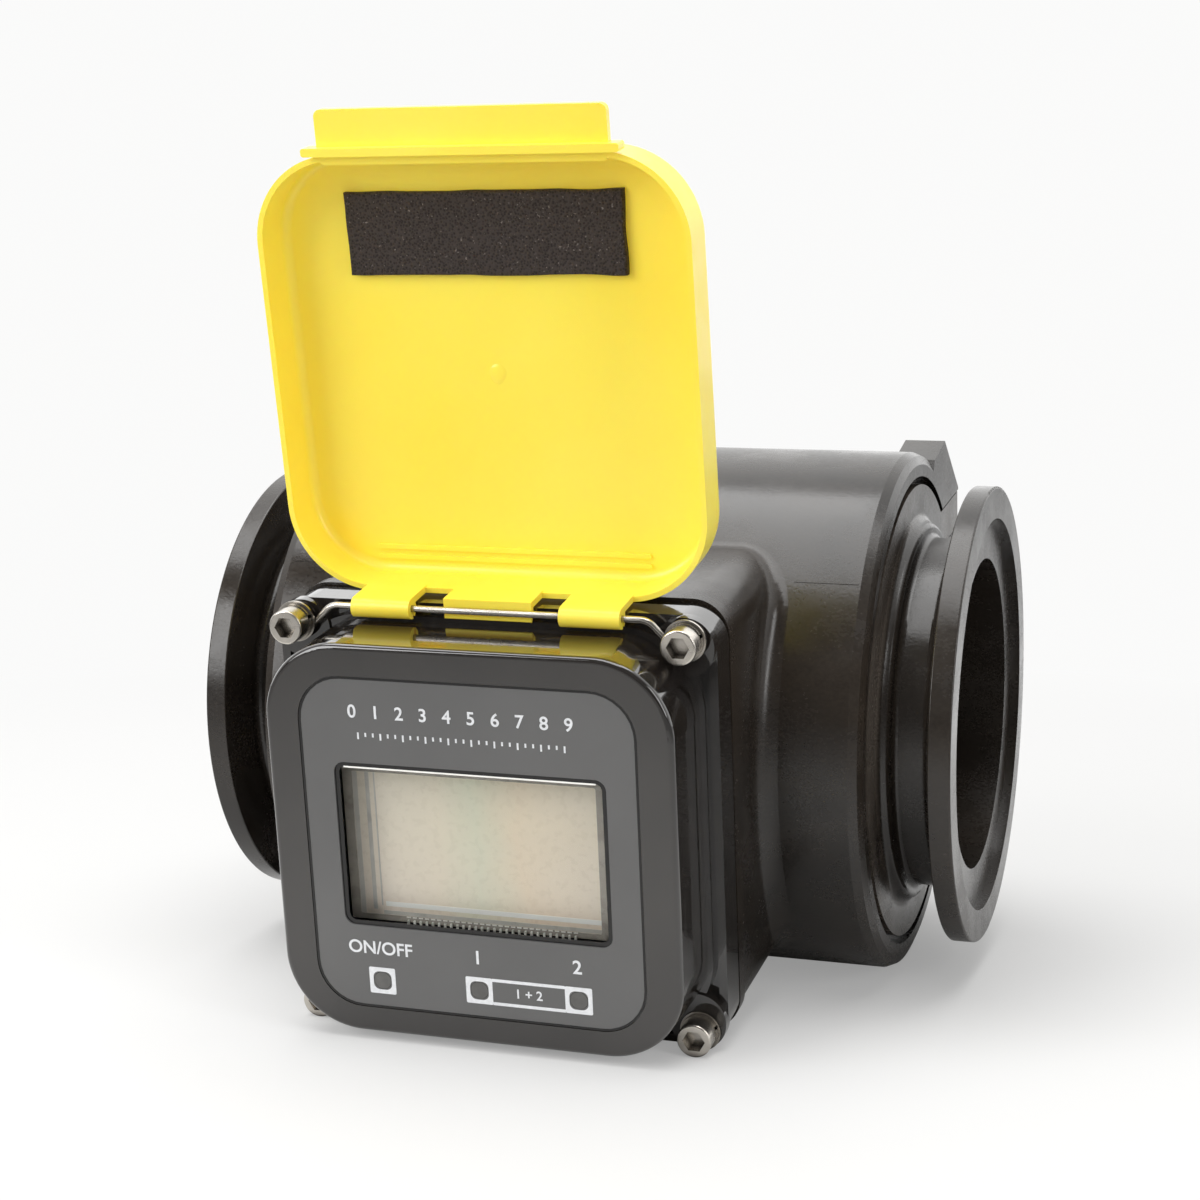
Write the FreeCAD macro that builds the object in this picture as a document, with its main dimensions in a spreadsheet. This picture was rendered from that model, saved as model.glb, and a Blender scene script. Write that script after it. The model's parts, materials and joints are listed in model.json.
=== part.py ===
import FreeCAD, Part
import math
import os

import Sketcher
from FreeCAD import Placement, Rotation, Vector

# Inline flow meter with a square display box and a flip-up lid.
# X runs along the pipe, the display faces minus Y and Z is up.
# The origin is the middle of the flow bore. All sizes are in millimetres.

doc = FreeCAD.newDocument("FlowMeter")
sheet = doc.addObject("Spreadsheet::Sheet", "Sizes")


class Dim:
    """A length together with the sheet formula that gives it."""

    def __init__(self, value, formula):
        self.value = float(value)
        self.formula = formula

    def __add__(self, other):
        other = dim(other)
        return Dim(self.value + other.value, "(%s + %s)" % (self.formula, other.formula))

    def __sub__(self, other):
        other = dim(other)
        return Dim(self.value - other.value, "(%s - %s)" % (self.formula, other.formula))

    def __mul__(self, factor):
        return Dim(self.value * factor, "(%s * %g)" % (self.formula, factor))

    def __neg__(self):
        return self * -1


def dim(number):
    """A plain number as a length with itself as its formula."""
    if isinstance(number, Dim):
        return number
    return Dim(number, "%g" % number)


def size(name, value, meaning):
    """One named row of the sheet, returned as a length."""
    row = size.rows + 1
    size.rows = row
    sheet.set("A%d" % row, name)
    sheet.set("B%d" % row, "%g" % value)
    sheet.set("C%d" % row, meaning)
    sheet.setAlias("B%d" % row, name)
    return Dim(value, "Sizes.%s" % name)


size.rows = 0

# Flow tube and field sizes, from the bore outwards
bore_r = size("bore_r", 38.2, "flow bore radius")
liner_wall = size("liner_wall", 3.8, "flow tube wall")
shoe_thick = size("shoe_thick", 4.0, "pole shoe thickness")
coil_thick = size("coil_thick", 8.0, "coil thickness")
coil_gap = size("coil_gap", 4.9, "room between coil and return band")
band_thick = size("band_thick", 3.0, "return band thickness")
barrel_wall = size("barrel_wall", 5.9, "barrel wall")
liner_r = bore_r + liner_wall
shoe_r = liner_r + shoe_thick
coil_r = liner_r + coil_thick
band_in_r = coil_r + coil_gap
barrel_in_r = band_in_r + band_thick
barrel_r = barrel_in_r + barrel_wall
coil_half_x = size("coil_half_x", 34.0, "coil half length along the pipe")
coil_half_y = size("coil_half_y", 33.0, "coil half width")
coil_winding = size("coil_winding", 9.0, "width of the winding")
coil_corner = size("coil_corner", 8.0, "outer corner radius of the winding")
coil_hole_corner = size("coil_hole_corner", 3.0, "inner corner radius of the winding")
shoe_gap = size("shoe_gap", 1.0, "room between shoe and winding")
band_half_x = size("band_half_x", 35.5, "return band half length")
electrode_r = size("electrode_r", 2.5, "electrode stem radius")
electrode_head_r = size("electrode_head_r", 4.95, "electrode head radius")
electrode_seat = size("electrode_seat", 2.2, "depth of the electrode head seat")
electrode_reach = size("electrode_reach", 9.0, "electrode length outside the tube")
electrode_seal = size("electrode_seal", 2.2, "electrode seal thickness")
electrode_nut = size("electrode_nut", 3.0, "electrode nut height")
nut_flats = size("nut_flats", 8.0, "electrode nut across flats")

# Pipe end sizes
barrel_x = size("barrel_x", 74.0, "middle to barrel end")
disc_len = size("disc_len", 14.0, "length of the disc inside the barrel")
disc_gap = size("disc_gap", 2.0, "dark gap round the end disc")
disc_gap_depth = size("disc_gap_depth", 4.0, "depth of that gap")
tube_socket = size("tube_socket", 6.0, "depth of the tube in the disc")
seal_inset = size("seal_inset", 3.2, "disc inner end to tube seal")
seal_cord_r = size("seal_cord_r", 1.0, "tube seal cord radius")
seal_play = size("seal_play", 0.3, "seal groove play on each side")
neck_wall = size("neck_wall", 4.7, "neck wall")
neck_step = size("neck_step", 3.7, "height of the step at the neck foot")
neck_foot = size("neck_foot", 3.0, "length of the step at the neck foot")
neck_len = size("neck_len", 18.85, "barrel end to flange face")
gasket_width = size("gasket_width", 9.87, "width of the gasket recess")
gasket_depth = size("gasket_depth", 2.4, "gasket recess depth")
flange_land = size("flange_land", 7.83, "rim outside the gasket recess")
flange_rim = size("flange_rim", 5.28, "flange rim thickness")
hub_len = size("hub_len", 2.0, "length of the hub behind the flange")
hub_rise = size("hub_rise", 3.0, "height of the hub behind the flange")
spigot_x = barrel_x - disc_len
liner_x = spigot_x + tube_socket
seal_x = spigot_x + seal_inset
disc_r = barrel_in_r - disc_gap
neck_r = bore_r + neck_wall
gasket_r = bore_r + gasket_width
flange_r = gasket_r + flange_land
flange_face_x = barrel_x + neck_len
key_drop = size("key_drop", 16.5, "barrel inside to top of the key")
key_width = size("key_width", 9.4, "width of the locating key")
key_inset = size("key_inset", 1.8, "barrel outside to tip of the key")
key_depth = size("key_depth", 5.6, "length of the key along the pipe")
key_root_in = size("key_root_in", 20.9, "barrel inside to root of the key")
key_gap = size("key_gap", 0.3, "clearance all round the key")
key_top_z = barrel_in_r - key_drop
key_low_z = key_top_z - key_width
key_tip_y = barrel_r - key_inset
lug_len = size("lug_len", 10.3, "lug length along the pipe")
lug_inset = size("lug_inset", 0.5, "barrel outside to lug tip")
lug_end_y = size("lug_end_y", 39.8, "barrel side to the upper end of the lug")
lug_end_z = size("lug_end_z", 13.8, "barrel top to the upper end of the lug")
lug_crest_y = size("lug_crest_y", 34.1, "barrel side to the crest of the lug")
lug_crest_z = size("lug_crest_z", 6.9, "barrel top to the crest of the lug")
lug_brow_y = size("lug_brow_y", 19.9, "barrel side to the brow of the lug")
lug_brow_z = size("lug_brow_z", 4.9, "barrel top to the brow of the lug")
lug_heel_y = size("lug_heel_y", 11.8, "barrel side to the heel of the lug")
lug_core = size("lug_core", 23.8, "barrel side and top to the buried lug corner")
lug_cheek = size("lug_cheek", 0.9, "lug left above the key slot")
lug_foot = size("lug_foot", 4.0, "lug left below the key slot")
barrel_edge = size("barrel_edge", 3.0, "rounding of the barrel ends")
lug_x = barrel_x - lug_len

# Box boss on the barrel
boss_half_w = size("boss_half_w", 50.2, "boss half width")
boss_half_h = size("boss_half_h", 50.2, "boss half height")
boss_corner = size("boss_corner", 9.0, "boss corner radius")
boss_blend = size("boss_blend", 5.0, "blend between boss and barrel")
boss_rise = size("boss_rise", 20.2, "barrel to front of the housing")
boss_side_wall = size("boss_side_wall", 5.6, "chamber side wall")
boss_end_wall = size("boss_end_wall", 6.3, "chamber top and bottom wall")
chamber_corner = size("chamber_corner", 12.0, "battery chamber corner radius")
chamber_floor = size("chamber_floor", 3.2, "least chamber floor over the barrel")
lip_len = size("lip_len", 4.0, "length of the lip round the front")
lead_x = size("lead_x", 41.0, "lead hole position along the pipe")
lead_r = size("lead_r", 5.0, "lead hole radius")
lead_bore = size("lead_bore", 2.2, "grommet bore radius")
boss_front = barrel_r + boss_rise
chamber_half_w = boss_half_w - boss_side_wall
chamber_half_h = boss_half_h - boss_end_wall
chamber_depth = boss_rise - chamber_floor

# Display cover sizes
joint_thick = size("joint_thick", 0.8, "cover gasket thickness")
rim_overhang = size("rim_overhang", 0.4, "cover rim beyond the boss side")
rim_drop = size("rim_drop", 0.8, "cover rim below the boss top")
rim_corner = size("rim_corner", 8.0, "cover rim corner radius")
rim_thick = size("rim_thick", 8.2, "cover rim thickness")
rim_bead = size("rim_bead", 1.0, "height of the bead round the rim")
bead_width = size("bead_width", 1.9, "width of the bead round the rim")
step_width = size("step_width", 1.1, "width of the step at the body foot")
step_height = size("step_height", 2.4, "height of the step at the body foot")
ear_rise = size("ear_rise", 3.05, "screw ear above the rim")
ear_half = size("ear_half", 6.5, "screw ear half width")
rim_step_w = size("rim_step_w", 3.8, "rim edge to body side")
rim_step_h = size("rim_step_h", 3.9, "rim edge to body top")
cover_corner = size("cover_corner", 18.0, "cover body corner radius")
body_depth = size("body_depth", 20.5, "rim to cover face")
body_draft = size("body_draft", 1.5, "draft of the cover body in degrees")
cover_edge = size("cover_edge", 1.3, "rounding of the cover face edge")
cover_wall = size("cover_wall", 3.0, "cover side wall")
cover_front_wall = size("cover_front_wall", 2.5, "cover front wall")
label_margin = size("label_margin", 8.4, "body side to label edge")
label_corner = size("label_corner", 10.4, "label corner radius")
label_z = size("label_z", -0.5, "label centre height")
label_recess = size("label_recess", 0.7, "label recess depth")
label_thick = size("label_thick", 0.5, "label thickness")
label_play = size("label_play", 0.1, "label play in its recess")
window_half_w = size("window_half_w", 31.05, "window half width")
window_half_h = size("window_half_h", 18.95, "window half height")
window_corner = size("window_corner", 2.5, "window corner radius")
window_x = size("window_x", 0.15, "window centre across")
window_z = size("window_z", -0.55, "window centre height")
pane_thick = size("pane_thick", 1.6, "window pane thickness")
pane_lap = size("pane_lap", 2.0, "pane overlap behind the window edge")
finger_pitch = size("finger_pitch", 22.9, "finger window spacing")
finger_edge = size("finger_edge", 6.6, "label edge to finger window centre")
finger_r = size("finger_r", 2.0, "finger lens radius")
post_len = size("post_len", 9.4, "board post length")
post_r = size("post_r", 2.8, "board post radius")
stake_r = size("stake_r", 1.3, "board stake radius")
board_thick = size("board_thick", 1.6, "circuit board thickness")
board_play = size("board_play", 1.3, "board to cover side wall")
post_inset_x = size("post_inset_x", 5.0, "board side to post centre")
post_inset_z = size("post_inset_z", 9.0, "board top to post centre")
glass_rise = size("glass_rise", 1.8, "board to display glass")
display_thick = size("display_thick", 2.6, "display glass thickness")
display_lap = size("display_lap", 1.5, "display glass beyond the window")
frame_wall = size("frame_wall", 1.4, "display frame wall")
frame_lip = size("frame_lip", 0.4, "display frame beyond the glass face")
rim_half_w = boss_half_w + rim_overhang
rim_half_h = boss_half_h - rim_drop
rim_front = boss_front + joint_thick + rim_thick
ear_front = rim_front + ear_rise
cover_half_w = rim_half_w - rim_step_w
cover_half_h = rim_half_h - rim_step_h
cover_face = rim_front + body_depth
inner_face = cover_face - cover_front_wall
label_half = cover_half_w - label_margin
finger_z = label_z - label_half + finger_edge
board_front = inner_face - post_len
board_back = board_front - board_thick
board_half_w = cover_half_w - cover_wall - board_play
board_half_h = cover_half_h - cover_wall - board_play
post_x = board_half_w - post_inset_x
post_z = board_half_h - post_inset_z
display_back = board_front + glass_rise
display_half_w = window_half_w + display_lap
display_half_h = window_half_h + display_lap

# Battery cells
cell_r = size("cell_r", 7.0, "battery cell radius")
cell_half = size("cell_half", 25.0, "battery cell half length")
cell_front = size("cell_front", 1.0, "cell to front of the housing")
cell_apart = size("cell_apart", 20.0, "gap between the two cells")
cell_edge = size("cell_edge", 0.6, "rounding of the cell end")
nub_r = size("nub_r", 2.6, "cell contact radius")
nub_len = size("nub_len", 1.0, "cell contact height")
tray_end = size("tray_end", 3.0, "holder end wall")
tray_side = size("tray_side", 2.0, "holder beyond the cells")
tray_play = size("tray_play", 0.2, "cell to holder divider")
cell_y = boss_front - cell_front - cell_r
cell_z = cell_r + cell_apart * 0.5

# Screw and wire sizes
screw_edge_x = size("screw_edge_x", 5.8, "rim side to screw centre")
screw_edge_z = size("screw_edge_z", 4.5, "rim top to screw centre")
screw_head_r = size("screw_head_r", 3.85, "screw head radius")
screw_head_h = size("screw_head_h", 4.35, "screw head height")
screw_r = size("screw_r", 2.35, "screw shank radius")
screw_len = size("screw_len", 27.0, "screw shank length")
screw_hole = size("screw_hole", 17.0, "depth of the screw hole")
screw_play = size("screw_play", 0.3, "screw play in the cover")
socket_flats = size("socket_flats", 4.4, "socket size across flats")
socket_depth = size("socket_depth", 2.8, "socket depth")
washer_r = size("washer_r", 4.6, "flat washer radius")
washer_thick = size("washer_thick", 0.6, "flat washer thickness")
spring_r = size("spring_r", 4.1, "lock washer radius")
spring_thick = size("spring_thick", 1.0, "lock washer thickness")
wire_r = size("wire_r", 0.75, "hinge wire radius")
hinge_drop = size("hinge_drop", 0.7, "rim top to hinge wire")
wire_side = size("wire_side", 10.0, "screw centre to the end of the straight wire")
wire_bend_r = size("wire_bend_r", 4.0, "bend radius of the wire")
eye_r = size("eye_r", 3.3, "radius of the wire eye")
screw_x = rim_half_w - screw_edge_x
screw_z = rim_half_h - screw_edge_z
wire_straight = screw_x - wire_side
hinge_z = rim_half_h - hinge_drop
hinge_front = ear_front + wire_r

# Lid sizes, measured from the hinge wire with the lid upright
lid_play = size("lid_play", 0.2, "lid play beside the cover body")
lid_end_play = size("lid_end_play", 1.6, "lid play below the cover body")
lid_wall = size("lid_wall", 1.2, "lid side wall")
lid_low = size("lid_low", 0.8, "hinge to near side of the lid")
lid_corner_more = size("lid_corner_more", 1.0, "lid corner beyond the cover corner")
lid_rim_y = size("lid_rim_y", 8.1, "hinge to rim plane")
lid_face_gap = size("lid_face_gap", 2.1, "shut lid panel to cover face")
lid_panel = size("lid_panel", 1.7, "lid panel thickness")
lid_round = size("lid_round", 3.0, "rounding of the lid back")
lid_fillet = size("lid_fillet", 2.0, "rounding inside the lid")
lid_lean = size("lid_lean", 4.5, "forward lean of the open lid in degrees")
ridge_z = size("ridge_z", 4.6, "lid edge to first ridge")
ridge_pitch = size("ridge_pitch", 2.3, "ridge spacing")
ridge_height = size("ridge_height", 0.6, "ridge height")
clip_r = size("clip_r", 2.3, "clip outer radius")
clip_play = size("clip_play", 0.07, "running clearance on the wire")
clip_side = size("clip_side", 10.8, "end of the straight wire to the clip centre")
clip_half = size("clip_half", 6.8, "side clip half width")
clip_root = size("clip_root", 0.9, "clip root inside the rim")
tongue_half = size("tongue_half", 10.1, "middle tongue half width")
tongue_gap = size("tongue_gap", 0.2, "wire to tongue")
tongue_end = size("tongue_end", 1.2, "tongue end below the hinge")
pull_side = size("pull_side", 16.2, "lid side to pull tab side")
pull_height = size("pull_height", 9.5, "pull tab height")
pull_thick = size("pull_thick", 1.8, "pull tab thickness")
ledge_side = size("ledge_side", 2.8, "pull ledge beyond the pull tab")
ledge_reach = size("ledge_reach", 4.0, "pull ledge depth")
foam_half_w = size("foam_half_w", 31.5, "foam pad half width")
foam_half_h = size("foam_half_h", 9.15, "foam pad half height")
foam_drop = size("foam_drop", 18.35, "lid far side to foam pad centre")
foam_play = size("foam_play", 0.3, "shut foam pad to cover face")
lid_half_w = cover_half_w + lid_play + lid_wall
lid_far = hinge_z + cover_half_h + lid_end_play + lid_wall
lid_corner = cover_corner + lid_corner_more
clip_x = wire_straight - clip_side
pull_half = lid_half_w - pull_side
ledge_half = pull_half + ledge_side
foam_z = lid_far - foam_drop
lid_floor_y = cover_face - hinge_front + lid_face_gap
lid_depth = lid_floor_y - lid_rim_y
foam_thick = lid_face_gap - foam_play
doc.recompute()

ZERO = dim(0)
FRONT = "XZ_Plane"
SIDE = "YZ_Plane"
LEVEL = "XY_Plane"


# Drawing helpers

def new_body(name):
    body = doc.addObject("PartDesign::Body", name)
    body.Label = name
    return body


def new_sketch(body, name, role, offset=ZERO):
    """A sketch on one of the body's own planes, moved along its normal."""
    sketch = body.newObject("Sketcher::SketchObject", name)
    for plane in body.Origin.OriginFeatures:
        if plane.Role == role:
            sketch.AttachmentSupport = (plane, [""])
    sketch.MapMode = "FlatFace"
    sketch.AttachmentOffset = Placement(Vector(0, 0, offset.value), Rotation())
    sketch.setExpression("AttachmentOffset.Base.z", offset.formula)
    return sketch


def bind(sketch, kind, arguments, length):
    """Add one measured constraint and tie it to the sheet."""
    index = sketch.addConstraint(Sketcher.Constraint(kind, *arguments, length.value))
    sketch.setExpression("Constraints[%d]" % index, length.formula)


def pin_point(sketch, geometry, point, across, up):
    """Hold a point at the given place in the sketch."""
    if across.value == 0:
        sketch.addConstraint(Sketcher.Constraint("PointOnObject", geometry, point, -2))
    else:
        bind(sketch, "DistanceX", (-1, 1, geometry, point), across)
    if up.value == 0:
        sketch.addConstraint(Sketcher.Constraint("PointOnObject", geometry, point, -1))
    else:
        bind(sketch, "DistanceY", (-1, 1, geometry, point), up)


def draw_outline(sketch, corners):
    """A closed outline of straight lines through the corners."""
    corners = [(dim(across), dim(up)) for across, up in corners]
    first = sketch.GeometryCount
    count = len(corners)
    for number in range(count):
        start = corners[number]
        end = corners[(number + 1) % count]
        line = Part.LineSegment(
            Vector(start[0].value, start[1].value, 0),
            Vector(end[0].value, end[1].value, 0),
        )
        sketch.addGeometry(line, False)
    for number in range(count):
        following = first + (number + 1) % count
        sketch.addConstraint(Sketcher.Constraint("Coincident", first + number, 2, following, 1))
    for number, (across, up) in enumerate(corners):
        pin_point(sketch, first + number, 1, across, up)


def draw_circle(sketch, across, up, radius):
    across = dim(across)
    up = dim(up)
    centre = Vector(across.value, up.value, 0)
    number = sketch.addGeometry(Part.Circle(centre, Vector(0, 0, 1), radius.value), False)
    pin_point(sketch, number, 3, across, up)
    bind(sketch, "Radius", (number,), radius)


def draw_round_box(sketch, centre_x, centre_y, half_w, half_h, corner):
    """A rectangle with tangent corner arcs, sized from its centre."""
    centre_x = dim(centre_x)
    centre_y = dim(centre_y)
    right, left = centre_x + half_w, centre_x - half_w
    top, low = centre_y + half_h, centre_y - half_h
    radius = corner.value
    inner = [
        (right.value - radius, low.value + radius),
        (right.value - radius, top.value - radius),
        (left.value + radius, top.value - radius),
        (left.value + radius, low.value + radius),
    ]
    first = sketch.GeometryCount
    for number in range(4):
        turn = math.radians(90 * number - 90)
        out = Vector(math.cos(turn), math.sin(turn), 0) * radius
        start = Vector(*inner[number - 1], 0) + out
        end = Vector(*inner[number], 0) + out
        sketch.addGeometry(Part.LineSegment(start, end), False)
        ring = Part.Circle(Vector(*inner[number], 0), Vector(0, 0, 1), radius)
        sketch.addGeometry(Part.ArcOfCircle(ring, turn, turn + math.pi / 2), False)
    for number in range(8):
        following = first + (number + 1) % 8
        sketch.addConstraint(Sketcher.Constraint("Tangent", first + number, 2, following, 1))
    for number, side in enumerate((low, right, top, left)):
        kind = "Horizontal" if number % 2 == 0 else "Vertical"
        measure = "DistanceY" if number % 2 == 0 else "DistanceX"
        sketch.addConstraint(Sketcher.Constraint(kind, first + 2 * number))
        bind(sketch, measure, (-1, 1, first + 2 * number, 1), side)
    for number in range(3):
        here = first + 2 * number + 1
        sketch.addConstraint(Sketcher.Constraint("Equal", here, here + 2))
    bind(sketch, "Radius", (first + 1,), corner)


def volume_of(body):
    doc.recompute()
    return body.Shape.Volume if not body.Shape.isNull() else 0.0


def add_feature(body, kind, name, sketch, settings, lengths):
    """Add one solid feature and check that it changed the volume the right way."""
    before = volume_of(body) if body.Tip else 0.0
    feature = body.newObject("PartDesign::%s" % kind, name)
    feature.Profile = sketch
    for key, value in settings.items():
        setattr(feature, key, value)
    for key, length in lengths.items():
        setattr(feature, key, length.value)
        feature.setExpression(key, length.formula)
    body.Tip = feature
    after = volume_of(body)
    cuts = kind in ("Pocket", "Groove")
    if (cuts and after >= before) or (not cuts and after <= before):
        raise ValueError("%s did not change %s as it should" % (name, body.Label))
    return feature


def pad(body, name, sketch, length, backward=False):
    return add_feature(body, "Pad", name, sketch, {"Reversed": backward}, {"Length": dim(length)})


def pocket(body, name, sketch, length, backward=False):
    return add_feature(
        body, "Pocket", name, sketch, {"Reversed": backward}, {"Length": dim(length)}
    )


def spin(body, kind, name, sketch, axis="H_Axis"):
    """A full turn about an axis of the sketch, added or cut away."""
    settings = {"ReferenceAxis": (sketch, [axis]), "Angle": 360.0}
    return add_feature(body, kind, name, sketch, settings, {})


def edges_where(shape, test):
    return ["Edge%d" % (n + 1) for n, edge in enumerate(shape.Edges) if test(edge)]


def round_edges(body, name, radius, test):
    """Round the edges of the body that the test picks."""
    base = body.Tip
    picked = edges_where(base.Shape, test)
    feature = body.newObject("PartDesign::Fillet", name)
    feature.Base = (base, picked)
    feature.Radius = radius.value
    feature.setExpression("Radius", radius.formula)
    body.Tip = feature
    doc.recompute()
    return feature


def place(body, x, y, z):
    """Put a body at a place given by sheet lengths."""
    for letter, length in zip("xyz", (dim(x), dim(y), dim(z))):
        body.setExpression("Placement.Base.%s" % letter, length.formula)
    doc.recompute()


def edge_points(edge):
    first, last = edge.ParameterRange
    return [edge.valueAt(first + (last - first) * part) for part in (0.0, 0.33, 0.66, 1.0)]


def all_at(edge, axis, value, tolerance=0.02):
    return all(abs(point[axis] - value) < tolerance for point in edge_points(edge))


# Barrel and box in one moulding

def make_housing():
    body = new_body("barrel_housing")
    sketch = new_sketch(body, "BarrelProfile", LEVEL)
    draw_outline(sketch, [
        (-barrel_x, 0), (barrel_x, 0), (barrel_x, barrel_r - barrel_edge),
        (barrel_x - barrel_edge * 0.3, barrel_r - barrel_edge * 0.3),
        (barrel_x - barrel_edge, barrel_r), (-barrel_x + barrel_edge, barrel_r),
        (-barrel_x + barrel_edge * 0.3, barrel_r - barrel_edge * 0.3),
        (-barrel_x, barrel_r - barrel_edge),
    ])
    spin(body, "Revolution", "Barrel", sketch)
    sketch = new_sketch(body, "BossOutline", FRONT, boss_front)
    draw_round_box(sketch, 0, 0, boss_half_w, boss_half_h, boss_corner)
    pad(body, "Boss", sketch, boss_front - barrel_in_r * 0.5, backward=True)
    round_edges(body, "BossBlend", boss_blend, lambda edge: all(
        abs(math.hypot(p.y, p.z) - barrel_r.value) < 0.05
        and abs(p.x) < boss_half_w.value + 0.1
        and p.y < 0 for p in edge_points(edge)))
    sketch = new_sketch(body, "LipOutline", FRONT, boss_front)
    draw_round_box(sketch, 0, 0, rim_half_w, boss_half_h, rim_corner)
    pad(body, "FrontLip", sketch, lip_len, backward=True)
    lug_tip = barrel_r - lug_inset
    lug_outline = [
        (barrel_r - lug_end_y, barrel_r - lug_end_z),
        (barrel_r - lug_crest_y, barrel_r - lug_crest_z),
        (barrel_r - lug_brow_y, barrel_r - lug_brow_z),
        (lug_tip, key_top_z + lug_cheek), (lug_tip, key_low_z - lug_foot),
        (barrel_r - lug_heel_y, key_low_z - lug_foot * 1.75),
        (barrel_r - lug_core, barrel_r - lug_core),
    ]
    for side, word in ((1, "Right"), (-1, "Left")):
        start = lug_x if side > 0 else -barrel_x
        sketch = new_sketch(body, "Lug%sOutline" % word, SIDE, start)
        draw_outline(sketch, lug_outline)
        pad(body, "Lug%s" % word, sketch, barrel_x - lug_x)
    sketch = new_sketch(body, "CoilSpaceProfile", LEVEL)
    draw_outline(sketch, [
        (-barrel_x, 0), (barrel_x, 0), (barrel_x, barrel_in_r), (-barrel_x, barrel_in_r),
    ])
    spin(body, "Groove", "CoilSpace", sketch)
    sketch = new_sketch(body, "ChamberOutline", FRONT, boss_front)
    draw_round_box(sketch, 0, 0, chamber_half_w, chamber_half_h, chamber_corner)
    pocket(body, "Chamber", sketch, chamber_depth)
    sketch = new_sketch(body, "LeadHoleOutline", FRONT, boss_front)
    draw_circle(sketch, lead_x, 0, lead_r)
    pocket(body, "LeadHole", sketch, boss_front - barrel_in_r + barrel_wall)
    sketch = new_sketch(body, "ScrewHoleOutline", FRONT, boss_front)
    for x in (screw_x, -screw_x):
        for z in (screw_z, -screw_z):
            draw_circle(sketch, x, z, screw_r)
    pocket(body, "ScrewHoles", sketch, screw_hole)
    for side, word in ((1, "Right"), (-1, "Left")):
        depth = key_depth + key_gap
        start = barrel_x if side > 0 else -barrel_x
        sketch = new_sketch(body, "KeySlot%sOutline" % word, SIDE, start)
        slot_in, slot_out = barrel_in_r * 0.7, barrel_r * 1.1
        draw_outline(sketch, [
            (slot_in, key_low_z - key_gap), (slot_out, key_low_z - key_gap),
            (slot_out, key_top_z + key_gap), (slot_in, key_top_z + key_gap),
        ])
        pocket(body, "KeySlot%s" % word, sketch, depth, backward=side < 0)
    return body


# End adapters with disc, neck and clamp flange

def make_adapter(name, side):
    body = new_body(name)
    groove_half = seal_cord_r + seal_play
    back = flange_face_x - flange_rim
    hub_back = back - hub_len
    profile = [
        (spigot_x, liner_r), (seal_x - groove_half, liner_r),
        (seal_x - groove_half, liner_r + seal_cord_r * 2),
        (seal_x + groove_half, liner_r + seal_cord_r * 2),
        (seal_x + groove_half, liner_r), (liner_x, liner_r), (liner_x, bore_r),
        (flange_face_x - gasket_depth, bore_r), (flange_face_x - gasket_depth, gasket_r),
        (flange_face_x, gasket_r), (flange_face_x, flange_r),
        (back, flange_r), (hub_back, neck_r + hub_rise), (hub_back, neck_r),
        (barrel_x + neck_foot, neck_r), (barrel_x + neck_foot, neck_r + neck_step),
        (barrel_x, neck_r + neck_step),
        (barrel_x, disc_r), (barrel_x - disc_gap_depth, disc_r),
        (barrel_x - disc_gap_depth, barrel_in_r), (spigot_x, barrel_in_r),
    ]
    sketch = new_sketch(body, "AdapterProfile", LEVEL)
    draw_outline(sketch, [(dim(along) * side, radius) for along, radius in profile])
    spin(body, "Revolution", "Adapter", sketch)
    for word, x, radius, fillet in (
        ("FootEdge", barrel_x + neck_foot, neck_r + neck_step, dim(1.6)),
        ("FootRoot", barrel_x, neck_r + neck_step, dim(2.4)),
        ("NeckRoot", barrel_x + neck_foot, neck_r, dim(1.4)),
        ("FlangeRoot", hub_back, neck_r, dim(1.6)),
        ("FlangeEdge", flange_face_x, flange_r, dim(0.5)),
        ("FlangeBackEdge", back, flange_r, dim(0.4)),
    ):
        place_x = x.value * side
        round_edges(body, word, fillet, lambda edge: all(
            abs(p.x - place_x) < 0.02 and abs(math.hypot(p.y, p.z) - radius.value) < 0.02
            for p in edge_points(edge)))
    start = barrel_x - key_depth if side > 0 else -barrel_x
    key_root = barrel_in_r - key_root_in
    sketch = new_sketch(body, "KeyOutline", SIDE, start)
    draw_outline(sketch, [
        (key_root, key_low_z), (key_tip_y, key_low_z), (key_tip_y, key_top_z),
        (key_root, key_top_z),
    ])
    pad(body, "Key", sketch, key_depth)
    return body


def make_ring(name, x_low, x_high, r_in, r_out):
    """A plain ring about the pipe axis."""
    body = new_body(name)
    sketch = new_sketch(body, "RingProfile", LEVEL)
    draw_outline(sketch, [(x_low, r_in), (x_high, r_in), (x_high, r_out), (x_low, r_out)])
    spin(body, "Revolution", "Ring", sketch)
    return body


def make_liner():
    body = make_ring("flow_liner", -liner_x, liner_x, bore_r, liner_r)
    sketch = new_sketch(body, "ElectrodeHoleOutline", FRONT, liner_r + liner_wall)
    draw_circle(sketch, 0, 0, electrode_r)
    pocket(body, "ElectrodeHoles", sketch, (liner_r + liner_wall) * 2)
    seat = bore_r + electrode_seat
    sketch = new_sketch(body, "HeadSeatOutline", FRONT, seat)
    draw_circle(sketch, 0, 0, electrode_head_r + 0.05)
    pocket(body, "HeadSeats", sketch, seat * 2)
    return body


def make_tube_seal(name, side):
    body = new_body(name)
    sketch = new_sketch(body, "CordOutline", LEVEL)
    draw_circle(sketch, seal_x * side, liner_r + seal_cord_r, seal_cord_r)
    spin(body, "Revolution", "Cord", sketch)
    return body


# Sensing parts round the flow tube

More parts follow.
